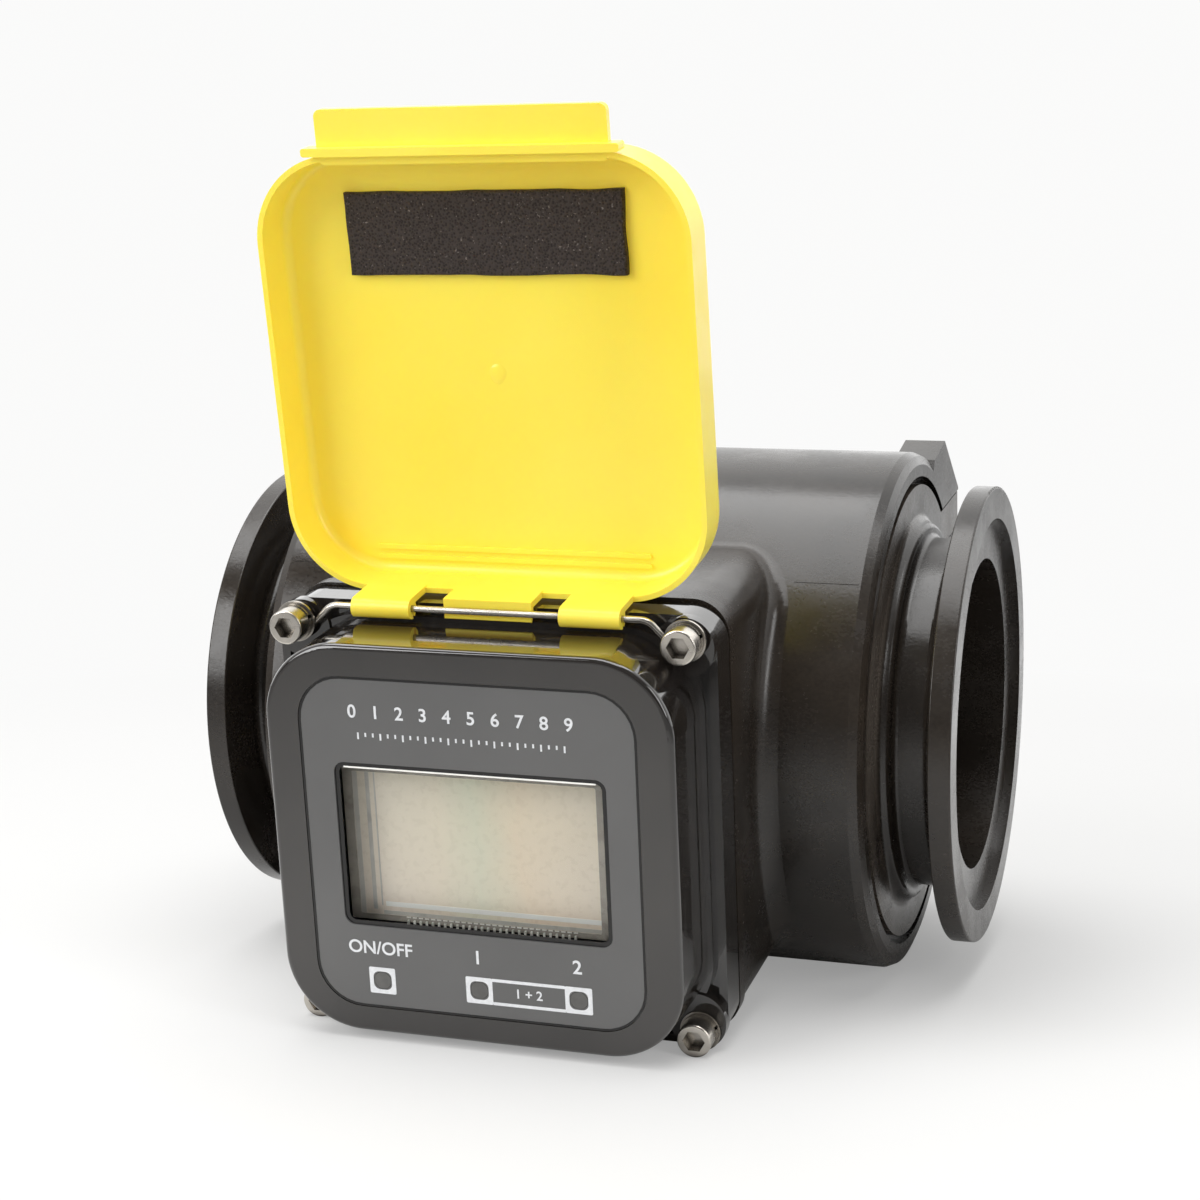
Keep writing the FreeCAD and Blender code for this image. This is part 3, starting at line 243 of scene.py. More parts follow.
def moulded_black(name, deep, pale, grain=900.0, rubbed=None):
    """Filled black moulding: faint cloudy patches, a fine scratchy grain, and dust.

    A rubbed tone shows on the part of the piece that lies within the barrel's length.
    """
    shader = Shader(name)
    cloud_noise = shader.noise(24.0, detail=5.0, roughness=0.6, stretch=MOULD_FLOW)
    clouds = shader.span(cloud_noise, 0.30, 0.70, 0.0, 1.0)
    mark_noise = shader.noise(1500.0, detail=2.0, roughness=0.5, stretch=MOULD_FLOW)
    marks = shader.span(mark_noise, 0.25, 0.75, 0.0, 1.0)
    mottle = shader.combine(
        "ADD", shader.combine("MULTIPLY", clouds, 0.75), shader.combine("MULTIPLY", marks, 0.25))
    base = shader.ramp(mottle, [(0.15, deep), (0.90, pale)])
    if rubbed:
        along = shader.combine("ABSOLUTE", shader.split(shader.place)["X"])
        inside = shader.span(along, RUB_FULL, RUB_END, 1.0, 0.0)
        base = shader.mix_colours(inside, base, shader.ramp(mottle, [(0.20, pale), (0.85, rubbed)]))
    dust_noise = shader.noise(640.0, detail=3.0, roughness=0.7)
    specks = shader.span(dust_noise, 0.70, 0.80, 0.0, MOULD_DUST)
    grey = tuple(min(1.0, part * 2.0 + 0.06) for part in pale)
    shader.set("Base Color", shader.mix_colours(specks, base, grey))
    shine = shader.span(shader.noise(42.0, roughness=0.6), 0.40, 0.62, 0.0, 0.6)
    dull = shader.combine("ADD", shader.combine("MULTIPLY", marks, 0.4), shine)
    shader.set("Roughness", shader.span(dull, 0.1, 1.0, MOULD_ROUGH_LOW, MOULD_ROUGH_HIGH))
    shader.bump(shader.combine("ADD", shader.noise(grain, detail=3.0), marks), 0.16, 0.07 * MM)
    return shader.material


def gloss_black(name):
    """Polished black plastic with faint haze and hairline scuffs."""
    shader = Shader(name)
    haze = shader.noise(60.0, detail=5.0, roughness=0.6)
    shader.set("Base Color", shader.ramp(haze, [
        (0.35, (0.0115, 0.0095, 0.0082)), (0.7, (0.0185, 0.0155, 0.0135))]))
    scuffs = shader.noise(700.0, roughness=0.7, stretch=(1, 1, 0.12))
    shader.set("Roughness", shader.span(scuffs, 0.45, 0.72, 0.06, 0.20))
    shader.bump(shader.noise(40.0, detail=2.0), 0.04, 0.2 * MM)
    shader.set("Specular IOR Level", 0.65)
    shader.set("Coat Weight", 0.75)
    shader.set("Coat Roughness", 0.03)
    return shader.material


def label_film(name):
    """Neutral grey satin film with a fine texture."""
    shader = Shader(name)
    shader.set("Base Color", shader.between(
        shader.noise(25.0), (0.103, 0.102, 0.101), (0.118, 0.117, 0.116)))
    shader.set("Roughness", shader.between(shader.noise(800.0, detail=2.0), 0.30, 0.42))
    shader.bump(shader.noise(2600.0, detail=2.0), 0.12, 0.04 * MM)
    return shader.material


def yellow_plastic(name):
    """Bright lemon plastic, warmer in cloudy patches, with a soft moulded sheen and a faint painted
    glow.
    """
    shader = Shader(name)
    shader.set("Base Color", shader.between(
        shader.noise(14.0, roughness=0.5), (0.98, 0.75, 0.050), (0.99, 0.83, 0.10)))
    shader.set("Roughness", shader.between(shader.noise(120.0), 0.28, 0.42))
    shader.bump(shader.noise(700.0, detail=3.0), 0.10, 0.07 * MM)
    shader.set("Subsurface Weight", 0.35)
    shader.surface.inputs["Subsurface Radius"].default_value = (9.0 * MM, 6.0 * MM, 1.2 * MM)
    # A faint yellow emission: painted glow that lifts the lid's shade.
    shader.set("Emission Color", (1.0, 0.66, 0.06))
    shader.set("Emission Strength", 0.10)
    shader.set("Coat Weight", 0.15)
    return shader.material


def stainless(name):
    """Bright stainless steel: fine turning marks, tarnish, painted shade and dirt in the hollows.
    """
    shader = Shader(name)
    tarnish = shader.noise(160.0, roughness=0.5)
    bright = (0.66, 0.62, 0.56)
    dark = tuple(part * 0.78 for part in bright)
    metal = shader.ramp(tarnish, [(0.35, dark), (0.62, bright)])
    # The hollows darken towards a dark brown by an occlusion mask: painted shade, standing also for
    # dirt there.
    open_air = shader.add("ShaderNodeAmbientOcclusion", samples=8)
    shader.feed(open_air.inputs["Distance"], 2.2 * MM)
    clean_and_unshaded = shader.span(open_air.outputs["AO"], 0.25, 0.85, 0.0, 1.0)
    shader.set("Base Color", shader.mix_colours(clean_and_unshaded, (0.045, 0.034, 0.026), metal))
    shader.set("Metallic", 1.0)
    shader.set("Roughness", shader.between(tarnish, 0.28, 0.20))
    turning = shader.noise(1500.0, detail=2.0, roughness=0.5, stretch=(1, 0.15, 1))
    shader.bump(turning, 0.08, 0.04 * MM)
    return shader.material


def foam_sheet(name):
    """Charcoal open cell foam with pale specks and painted shade in its pores."""
    shader = Shader(name)
    voronoi = shader.add("ShaderNodeTexVoronoi", feature="F1")
    shader.feed(voronoi.inputs["Scale"], 1700.0)
    shader.feed(voronoi.inputs["Vector"], shader.place)
    cells = voronoi.outputs["Distance"]
    specks = shader.span(shader.noise(1500.0, detail=2.0, roughness=0.5), 0.66, 0.74, 0.0, 0.85)
    # The cells darken towards their middles, where the bump sinks: painted shade in the pores.
    shade = shader.ramp(cells, [(0.05, (0.010, 0.007, 0.006)), (0.6, (0.042, 0.031, 0.028))])
    shader.set("Base Color", shader.mix_colours(specks, shade, (0.20, 0.17, 0.155)))
    shader.set("Roughness", shader.span(cells, 0.0, 0.6, 0.98, 0.82))
    shader.bump(cells, 0.7, 0.4 * MM)
    return shader.material


def clear_window(name):
    """Clear plastic window with a trace of haze."""
    shader = Shader(name)
    haze = shader.noise(90.0, detail=3.0)
    shader.set("Base Color", shader.between(haze, (0.95, 0.96, 0.95), (0.98, 0.99, 0.98)))
    shader.set("Roughness", shader.between(haze, 0.01, 0.03))
    shader.set("Transmission Weight", 1.0)
    shader.set("IOR", 1.12)
    return shader.material


def display_liquid(name):
    """Blank reflective display, beige with soft pink and green casts, and painted shade darkening
    its top.
    """
    shader = Shader(name)
    place = shader.split(shader.place)
    across = shader.span(place["X"], glass_low.x, glass_high.x, 0.0, 1.0)
    drift = shader.combine("MULTIPLY", shader.noise(38.0, detail=3.0, roughness=0.5), 0.30)
    across = shader.combine("ADD", across, shader.combine("ADD", drift, -0.15))
    warm = shader.ramp(across, [
        (0.08, (0.90, 0.82, 0.73)), (0.34, (0.92, 0.84, 0.71)), (0.48, (0.86, 0.85, 0.70)),
        (0.66, (0.96, 0.83, 0.67)), (0.95, (0.93, 0.85, 0.74))])
    # The display darkens towards its top: painted shade.
    up = shader.span(place["Z"], glass_low.z, glass_high.z, 0.0, 1.0)
    shade = shader.ramp(up, [
        (0.1, (1.0, 0.97, 0.95)), (0.6, (0.97, 0.96, 0.92)), (1.0, (0.88, 0.88, 0.85))])
    tint = shader.mix_colours(1.0, warm, shade, "MULTIPLY")
    fine = shader.between(
        shader.noise(900.0, detail=2.0), (0.985, 0.985, 0.985), (1.0, 1.0, 1.0))
    shader.set("Base Color", shader.mix_colours(1.0, tint, fine, "MULTIPLY"))
    shader.set("Roughness", shader.between(shader.noise(500.0, detail=2.0), 0.24, 0.34))
    return shader.material


def soft_rubber(name):
    """Dull black rubber of the seals."""
    shader = Shader(name)
    tone = shader.noise(200.0)
    shader.set("Base Color", shader.between(tone, (0.012, 0.012, 0.012), (0.03, 0.03, 0.03)))
    shader.set("Roughness", shader.between(tone, 0.6, 0.8))
    shader.bump(shader.noise(900.0, detail=2.0), 0.2, 0.1 * MM)
    return shader.material


def plain_mottle(name, low, high, rough, metal=0.0):
    """A small or hidden surface with a light mottle between two tones."""
    shader = Shader(name)
    tone = shader.noise(260.0)
    shader.set("Base Color", shader.between(tone, low, high))
    shader.set("Roughness", shader.between(tone, rough, rough + 0.12))
    shader.set("Metallic", metal)
    shader.bump(shader.noise(1500.0, detail=2.0), 0.15, 0.06 * MM)
    return shader.material


def print_white(name):
    """Screen printed white ink."""
    shader = Shader(name)
    tone = shader.noise(900.0, detail=3.0)
    shader.set("Base Color", shader.between(tone, (0.66, 0.67, 0.69), (0.78, 0.79, 0.81)))
    shader.set("Roughness", shader.between(tone, 0.4, 0.55))
    return shader.material


black = moulded_black("housing_black", (0.0085, 0.0066, 0.0050), (0.034, 0.026, 0.0195))
worn = moulded_black(
    "adapter_black", (0.012, 0.0095, 0.0075), (0.032, 0.0255, 0.020), grain=700.0,
    rubbed=(0.105, 0.088, 0.073))
gloss = gloss_black("cover_black")
film = label_film("label_grey")
yellow = yellow_plastic("lid_yellow")
steel = stainless("stainless")
foam = foam_sheet("foam_black")
clear = clear_window("window_clear")
liquid = display_liquid("display_grey")
rubber = soft_rubber("seal_rubber")
ink = print_white("label_ink")
dark_frame = plain_mottle("frame_black", (0.006, 0.006, 0.006), (0.014, 0.013, 0.012), 0.45)
smoke = plain_mottle("display_bezel", (0.36, 0.325, 0.285), (0.46, 0.42, 0.37), 0.22)
dull_strip = plain_mottle("display_shade", (0.56, 0.53, 0.49), (0.66, 0.63, 0.58), 0.25)
pale_strip = plain_mottle("display_strip", (0.97, 0.95, 0.90), (1.0, 0.98, 0.94), 0.25)
# Near-black of the printed window border, used also as painted shade in the gap round the label
border = plain_mottle("window_border", (0.004, 0.004, 0.004), (0.009, 0.008, 0.008), 0.14)
dark_lens = plain_mottle("lens_dark", (0.085, 0.083, 0.080), (0.120, 0.117, 0.112), 0.10)
copper = plain_mottle("coil_copper", (0.55, 0.22, 0.08), (0.75, 0.35, 0.14), 0.3, metal=1.0)
iron = plain_mottle("band_steel", (0.22, 0.22, 0.22), (0.34, 0.34, 0.35), 0.4, metal=1.0)
board = plain_mottle("board_green", (0.01, 0.07, 0.03), (0.02, 0.11, 0.05), 0.35)
sleeve = plain_mottle("cell_wrap", (0.07, 0.08, 0.09), (0.11, 0.12, 0.14), 0.3)
liner = plain_mottle("liner_black", (0.010, 0.0095, 0.009), (0.022, 0.021, 0.019), 0.38)
slot_materials = {
    "housing_black": black, "adapter_black": worn, "cover_black": gloss, "label_grey": film,
    "window_clear": clear, "display_grey": liquid, "frame_black": dark_frame,
    "board_green": board, "lens_dark": dark_lens, "lid_yellow": yellow, "foam_black": foam,
    "stainless": steel, "seal_rubber": rubber, "liner_black": liner, "coil_copper": copper,
    "band_steel": iron, "cell_wrap": sleeve,
}
SHARP_EDGE = math.radians(32)


def dress_nodes():
    """Give each CAD node the material of its slot, with smooth shading up to sharp edges."""
    for part in frame["record"]["subparts"]:
        node = nodes[part["node"]]
        node.data.materials.clear()
        node.data.materials.append(slot_materials[part["material_slot"]])
        for polygon in node.data.polygons:
            polygon.use_smooth = True
        node.data.set_sharp_from_angle(angle=SHARP_EDGE)


# Mesh helpers

def add_mesh(name, verts, faces, material, body, smooth=False):
    """A mesh object that rides on a body, or on none if it belongs to the stage."""
    mesh = bpy.data.meshes.new(name)
    mesh.from_pydata([tuple(v) for v in verts], [], faces)
    mesh.materials.append(material)
    for polygon in mesh.polygons:
        polygon.use_smooth = smooth
    thing = bpy.data.objects.new(name, mesh)
    bpy.context.scene.collection.objects.link(thing)
    if body is not None:
        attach(thing, body)
    return thing


def add_box(name, low, high, material):
    """A box of the meter between two corners."""
    verts = [(x, y, z) for x in (low.x, high.x) for y in (low.y, high.y) for z in (low.z, high.z)]
    faces = [(0, 1, 3, 2), (4, 6, 7, 5), (0, 4, 5, 1), (2, 3, 7, 6), (0, 2, 6, 4), (1, 5, 7, 3)]
    add_mesh(name, verts, faces, material, METER)


def add_bar(name, x, half, depths, heights, material):
    """A box of the meter with its middle at x, between two depths and two heights."""
    front, back = depths
    low, high = heights
    add_box(name, Vector((x - half, front, low)), Vector((x + half, back, high)), material)


def ring_plate(name, outer, inner, face, thick, material):
    """A flat plate of the meter between two loops of (x, z) points of equal count."""
    verts = []
    for loop in (outer, inner):
        verts += [(x, face, z) for x, z in loop]
    for loop in (outer, inner):
        verts += [(x, face + thick, z) for x, z in loop]
    count = len(outer)
    faces = []
    for i in range(count):
        j = (i + 1) % count
        faces.append((i, j, count + j, count + i))
        faces.append((2 * count + j, 2 * count + i, 3 * count + i, 3 * count + j))
        faces.append((j, i, 2 * count + i, 2 * count + j))
        faces.append((count + i, count + j, 3 * count + j, 3 * count + i))
    add_mesh(name, verts, faces, material, METER)


def round_loop(centre_x, centre_z, half_w, half_h, radius, steps=8):
    """Points round a rectangle with rounded corners, as (x, z) pairs."""
    points = []
    for corner in range(4):
        turn = math.pi / 2 * corner
        sign_x = 1 if corner in (0, 3) else -1
        sign_z = 1 if corner in (0, 1) else -1
        mid_x = centre_x + sign_x * (half_w - radius)
        mid_z = centre_z + sign_z * (half_h - radius)
        for step in range(steps + 1):
            angle = turn + math.pi / 2 * step / steps
            points.append((mid_x + radius * math.cos(angle), mid_z + radius * math.sin(angle)))
    return points


def frame_loop(low, high, radius):
    """A rounded loop between two corners."""
    middle = (low + high) / 2
    half = (high - low) / 2
    return round_loop(middle.x, middle.z, half.x, half.z, radius)


def inset_by(distance):
    """The step from a corner on the display's plane to the corner of a smaller frame."""
    return Vector((distance, 0, distance))


# Print on the label

INK_LIFT = 0.06 * MM
INK_THICK = 0.05 * MM
INK_FACE = LABEL_FACE - INK_LIFT
INK_DEPTHS = (INK_FACE, INK_FACE + INK_THICK)
SWITCH_HALF = 3.1 * MM
SWITCH_ROUND = 0.35 * MM
SWITCH_HOLE_HALF = 2.15 * MM
SWITCH_HOLE_ROUND = 1.4 * MM
SWITCH_WORD_Z = LENS_Z + 7.6 * MM
SWITCH_WORD_TALL = 4.2 * MM
SWITCH_NUMBER_TALL = 4.4 * MM
PAIR_LINE_HALF = 0.35 * MM
PAIR_WORD_TALL = 3.0 * MM
TICK_COUNT = 28
TICK_GROUP = 3
TICK_START = label_low.x + 13.8 * MM
TICK_RUN = 47.0 * MM
TICK_TOP = label_high.z - 12.4 * MM
TICK_HALF = 0.2 * MM
TICK_LONG = 1.5 * MM
TICK_SHORT = 0.9 * MM
SCALE_Z = label_high.z - 7.8 * MM
SCALE_TALL = 4.1 * MM
LABEL_CORNER = 10.3 * MM
# Width of the near-black line of painted shade in the gap round the label
LABEL_GAP_SHADE_WIDE = 0.5 * MM

# Share of a character's height by which its strokes are thickened
INK_BOLD = 0.016


def print_words(name, words, x, z, height):
    """Flat printed characters centred at a place on the label."""
    curve = bpy.data.curves.new(name, "FONT")
    curve.body = words
    curve.size = height
    curve.align_x = "CENTER"
    curve.align_y = "CENTER"
    curve.extrude = INK_THICK / 2
    curve.offset = height * INK_BOLD
    curve.materials.append(ink)
    text = bpy.data.objects.new(name, curve)
    upright = Matrix.Rotation(math.radians(90), 4, "X")
    text.matrix_world = Matrix.Translation((x, INK_FACE, z)) @ upright
    bpy.context.scene.collection.objects.link(text)
    bpy.context.view_layer.update()
    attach(text, METER)


def print_switches():
    """Frames round the finger windows, the bar that joins two of them, and their names."""
    for word, x in zip(LENS_WORDS, LENS_X):
        ring_plate(
            "ink_frame_" + word, round_loop(x, LENS_Z, SWITCH_HALF, SWITCH_HALF, SWITCH_ROUND),
            round_loop(x, LENS_Z, SWITCH_HOLE_HALF, SWITCH_HOLE_HALF, SWITCH_HOLE_ROUND),
            INK_FACE, INK_THICK, ink)
    pair_x = (LENS_X[1] + LENS_X[2]) / 2
    pair_half = (LENS_X[2] - LENS_X[1]) / 2 - SWITCH_HALF
    for word, side in (("upper", 1), ("lower", -1)):
        z = LENS_Z + side * (SWITCH_HALF - PAIR_LINE_HALF)
        add_bar(
            "ink_bar_" + word, pair_x, pair_half, INK_DEPTHS,
            (z - PAIR_LINE_HALF, z + PAIR_LINE_HALF), ink)
    print_words("ink_switch_one", "ON/OFF", LENS_X[0], SWITCH_WORD_Z, SWITCH_WORD_TALL)
    print_words("ink_switch_two", "1", LENS_X[1], SWITCH_WORD_Z, SWITCH_NUMBER_TALL)
    print_words("ink_switch_three", "2", LENS_X[2], SWITCH_WORD_Z, SWITCH_NUMBER_TALL)
    print_words("ink_switch_both", "1 + 2", pair_x, LENS_Z, PAIR_WORD_TALL)


def print_scale():
    """A row of numbers above a row of ticks."""
    numbers = "   ".join(str(number) for number in range(10))
    print_words("ink_scale_numbers", numbers, TICK_START + TICK_RUN / 2, SCALE_Z, SCALE_TALL)
    for number in range(TICK_COUNT):
        x = TICK_START + TICK_RUN * number / (TICK_COUNT - 1)
        tall = TICK_LONG if number % TICK_GROUP == 0 else TICK_SHORT
        add_bar(
            "ink_tick_%02d" % number, x, TICK_HALF, INK_DEPTHS, (TICK_TOP - tall, TICK_TOP), ink)


def build_label_edge():
    """A near-black line of painted shade in the gap where the label sits down into the cover."""
    inset = inset_by(LABEL_GAP_SHADE_WIDE)
    ring_plate(
        "label_gap_shade", frame_loop(label_low, label_high, LABEL_CORNER),
        frame_loop(label_low + inset, label_high - inset, LABEL_CORNER - LABEL_GAP_SHADE_WIDE),
        INK_FACE, INK_THICK, border)


# Display behind the window

PANE_LAP = 2.0 * MM
BORDER_WIDE = 1.05 * MM
BORDER_ROUND = 2.4 * MM
BORDER_INNER_ROUND = 1.6 * MM
BORDER_FACE = LABEL_FACE + 0.45 * MM
BORDER_THICK = 0.2 * MM
# A pale bar painted in as the highlight along the window's upper edge
GLINT_FRONT = LABEL_FACE + 0.40 * MM
GLINT_BACK = LABEL_FACE + 0.6 * MM
GLINT_LEFT = 2.2 * MM
GLINT_RIGHT = 2.4 * MM
GLINT_DROP = 1.0 * MM
GLINT_TALL = 0.35 * MM
BEZEL_INSET = 0.2 * MM
BEZEL_ROUND = 0.6 * MM
BEZEL_FACE = GLASS_FACE - 0.35 * MM
BEZEL_THICK = 0.3 * MM

# The active area's corners and the round of its corners
ACTIVE_LOW = glass_low + Vector((2.3, 0, 1.4)) * MM
ACTIVE_HIGH = glass_high - Vector((6.2, 0, 5.9)) * MM
ACTIVE_ROUND = 0.5 * MM

# Strips of light at the display's edge: where each starts and ends across and up, in
# millimetres from the lower left corner of the active area
STRIPS = (
    ("display_strip_low", 6.1, 56.5, 2.1, 3.2, pale_strip),
    ("display_strip_base", 5.5, 56.5, 0.1, 1.0, dull_strip),
    ("display_strip_left", 0.1, 1.2, 0.1, 33.4, dull_strip),
    ("display_strip_inner", 3.1, 4.0, 1.2, 33.4, dull_strip),
    ("display_strip_line", 5.1, 5.4, 2.2, 33.4, dull_strip),
)
STRIP_FRONT = GLASS_FACE - 0.12 * MM
STRIP_BACK = GLASS_FACE - 0.02 * MM

# Contact pins below the active area, each with a dash on its lower edge
PIN_COUNT = 28
PIN_PITCH = 1.45 * MM
PIN_START = ACTIVE_LOW.x + 11.5 * MM
PIN_HALF = 0.2 * MM
PIN_DEPTHS = (GLASS_FACE - 0.9 * MM, GLASS_FACE - 0.4 * MM)
PIN_HEIGHTS = (ACTIVE_LOW.z - 1.9 * MM, ACTIVE_LOW.z - 0.6 * MM)
DASH_HALF = 0.5 * MM
DASH_DEPTHS = (GLASS_FACE - 0.5 * MM, GLASS_FACE - 0.38 * MM)
DASH_HEIGHTS = (ACTIVE_LOW.z - 0.2 * MM, ACTIVE_LOW.z + 0.1 * MM)


def build_window_border():
    """Black border printed inside the window, with a pale bar painted in as the highlight of its
    upper edge.
    """
    opening_low = window_low + inset_by(PANE_LAP)
    opening_high = window_high - inset_by(PANE_LAP)
    inset = inset_by(BORDER_WIDE)
    ring_plate(
        "window_border", frame_loop(opening_low, opening_high, BORDER_ROUND),
        frame_loop(opening_low + inset, opening_high - inset, BORDER_INNER_ROUND),
        BORDER_FACE, BORDER_THICK, border)
    top = opening_high.z - GLINT_DROP
    add_box(
        "window_edge_glint", Vector((opening_low.x + GLINT_LEFT, GLINT_FRONT, top - GLINT_TALL)),
        Vector((opening_high.x - GLINT_RIGHT, GLINT_BACK, top)), pale_strip)


def build_display():
    """Smoky bezel of the display, light strips and contacts."""
    inset = inset_by(BEZEL_INSET)
    ring_plate(
        "display_bezel", frame_loop(glass_low + inset, glass_high - inset, BEZEL_ROUND),
        frame_loop(ACTIVE_LOW, ACTIVE_HIGH, ACTIVE_ROUND), BEZEL_FACE, BEZEL_THICK, smoke)
    for name, left, right, low, high, tone in STRIPS:
        add_box(
            name, Vector((ACTIVE_LOW.x + left * MM, STRIP_FRONT, ACTIVE_LOW.z + low * MM)),
            Vector((ACTIVE_LOW.x + right * MM, STRIP_BACK, ACTIVE_LOW.z + high * MM)), tone)
    for number in range(PIN_COUNT):
        x = PIN_START + PIN_PITCH * number
        add_bar("display_pin_%02d" % number, x, PIN_HALF, PIN_DEPTHS, PIN_HEIGHTS, pale_strip)
        add_bar("display_dash_%02d" % number, x, DASH_HALF, DASH_DEPTHS, DASH_HEIGHTS, pale_strip)


# Foam strip on the lid, cut by hand from sheet

FOAM_STEP = 0.5 * MM
FOAM_LIFT = 0.05 * MM
FOAM_ROUND = 0.5 * MM
FOAM_ROUND_DEEP = 0.4 * MM

# The cut edge and the open cells follow a noise, with so many waves a metre
CUT_TRIM = 0.2 * MM
CUT_SWAY = 0.35 * MM
CUT_WAVES = 120
CELL_DEEP = 0.16 * MM
CELL_WAVES = 900
CELL_LAYER = 0.3


def foam_places(low, high, across, up):
    """Each grid place (x, z) of the strip and how far in from the edge it is.

    The outermost places sway as a cut by hand does.
    """
    places = []
    for row in range(up + 1):
        for column in range(across + 1):
            x = low.x + (high.x - low.x) * column / across
            z = low.z + (high.z - low.z) * row / up
            inset = min(x - low.x, high.x - x, z - low.z, high.z - z)
            sway = noise.noise(Vector((x, z, 0)) * CUT_WAVES) * CUT_SWAY
            if column in (0, across):
                x += sway - CUT_TRIM * (1 if column else -1)
            if row in (0, up):
                z += sway - CUT_TRIM * (1 if row else -1)
            places.append((x, z, inset))
    return places


def foam_depth(x, z, inset):
    """How far the strip's face lies back at a place, for its round edge and its open cells."""
    round_edge = FOAM_ROUND_DEEP * max(0.0, 1 - inset / FOAM_ROUND) ** 2
    cell = noise.noise(Vector((x, z, CELL_LAYER)) * CELL_WAVES) * CELL_DEEP
    return FOAM_LIFT + round_edge + max(0.0, cell)


def build_foam():
    """A soft cut strip in the place of the CAD one, with wavy edges and open cells."""
    low, high = lid_box("foam_pad")
    across = round((high.x - low.x) / FOAM_STEP)
    up = round((high.z - low.z) / FOAM_STEP)
    places = foam_places(low, high, across, up)
    verts = [on_lid(x, low.y + foam_depth(x, z, inset), z) for x, z, inset in places]
    verts += [on_lid(x, high.y, z) for x, z, inset in places]
    stride = across + 1
    back = len(places)
    faces = []
    for row in range(up):
        for column in range(across):
            a = row * stride + column
            faces.append((a, a + 1, a + stride + 1, a + stride))
            faces.append((back + a, back + a + stride, back + a + stride + 1, back + a + 1))
    rim = list(range(across))
    rim += [row * stride + across for row in range(up)]
    rim += [up * stride + column for column in range(across, 0, -1)]
    rim += [row * stride for row in range(up, 0, -1)]
    for first, second in zip(rim, rim[1:] + rim[:1]):
        faces.append((first, back + first, back + second, second))
    pad = add_mesh("foam_strip", verts, faces, foam, LID, True)
    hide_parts("foam_pad")


# Marks and edges of the mouldings

# The gate mark: its place below the lid's middle, its crest, the radius and rise of the rings
# round it, and the share of a radius by which it runs out below
GATE_DROP = 4.0 * MM
GATE_CREST = 0.28 * MM
GATE_RINGS = ((1.0 * MM, 0.26 * MM), (1.7 * MM, 0.14 * MM), (2.1 * MM, -0.1 * MM))
GATE_STEPS = 24
GATE_TAIL = 0.35

# The tongue's lower edge in the lid's own frame, and the cuts at its two corners
TONGUE_HALF = 10.05 * MM
TONGUE_FRONT = 0.75 * MM
TONGUE_BACK = 1.6 * MM
TONGUE_TOP = -1.2 * MM
TONGUE_LOW = -2.2 * MM
TONGUE_FRONT_CUT = 0.15 * MM
TONGUE_BACK_CUT = 0.5 * MM

# The parting lines' place on the barrel, and their section as pairs across and outward
LINE_Y = -45.9 * MM
LINE_ENDS = (barrel_high.x - 18.5 * MM, barrel_high.x - 3.5 * MM)
LINE_SECTION = (
    (-0.22 * MM, -0.1 * MM), (-0.1 * MM, 0.14 * MM), (0.1 * MM, 0.14 * MM), (0.22 * MM, -0.1 * MM))


def build_gate_mark():
    """The low round mark that the mould gate leaves inside the lid."""
    low, high = lid_box("lid")
    middle = (low.z + high.z) / 2 - GATE_DROP
    panel = high.y - LID_THICK
    verts = [on_lid(0, panel - GATE_CREST, middle)]
    for radius, rise in GATE_RINGS:
        for step in range(GATE_STEPS):
            angle = 2 * math.pi * step / GATE_STEPS
            tail = GATE_TAIL * max(0.0, -math.sin(angle)) ** 3
            verts.append(on_lid(
                radius * math.cos(angle), panel - rise, middle + radius * (math.sin(angle) - tail)))
    faces = [(0, 1 + (step + 1) % GATE_STEPS, 1 + step) for step in range(GATE_STEPS)]
    for ring in range(len(GATE_RINGS) - 1):
        for step in range(GATE_STEPS):
            a = 1 + ring * GATE_STEPS + step
            b = 1 + ring * GATE_STEPS + (step + 1) % GATE_STEPS
            faces.append((a, b, b + GATE_STEPS, a + GATE_STEPS))
    add_mesh("lid_gate_mark", verts, faces, yellow, LID, True)


def build_tongue_lip():
    """The rounded lower edge of the lid's middle tongue, where it shows below the wire."""
    profile = [
        (TONGUE_BACK, TONGUE_TOP), (TONGUE_BACK, TONGUE_LOW + TONGUE_BACK_CUT),
        (TONGUE_BACK - TONGUE_BACK_CUT, TONGUE_LOW), (TONGUE_FRONT + TONGUE_FRONT_CUT, TONGUE_LOW),
        (TONGUE_FRONT, TONGUE_LOW + TONGUE_FRONT_CUT), (TONGUE_FRONT, TONGUE_TOP)]
    verts = [on_lid(x, y, z) for x in (-TONGUE_HALF, TONGUE_HALF) for y, z in profile]
    count = len(profile)
    faces = []
    for step in range(count):
        following = (step + 1) % count
        faces.append((step, following, count + following, count + step))
    faces.append(tuple(reversed(range(count))))
    faces.append(tuple(range(count, 2 * count)))
    add_mesh("lid_tongue_lip", verts, faces, yellow, LID)


def build_mould_lines():
    """Parting lines of the barrel moulding, one at each end."""
    line_z = math.sqrt(BARREL_RADIUS * BARREL_RADIUS - LINE_Y * LINE_Y)
    out = Vector((0, LINE_Y, line_z)).normalized()
    along = Vector((0, -out.z, out.y))
    faces = [(0, 1, 2, 3), (7, 6, 5, 4), (0, 4, 5, 1), (1, 5, 6, 2), (2, 6, 7, 3), (3, 7, 4, 0)]
    for word, side in (("right", 1), ("left", -1)):
        verts = [
            Vector((end * side, 0, 0)) + out * (BARREL_RADIUS + rise) + along * across
            for end in LINE_ENDS for across, rise in LINE_SECTION]
        add_mesh("mould_line_" + word, verts, faces, black, METER)


# Floor and backdrop

BACKDROP = (0.96, 0.96, 0.955)
FLOOR_HALF = 6.0
TILT_LIMIT = math.radians(20)
TILT_HALVINGS = 40

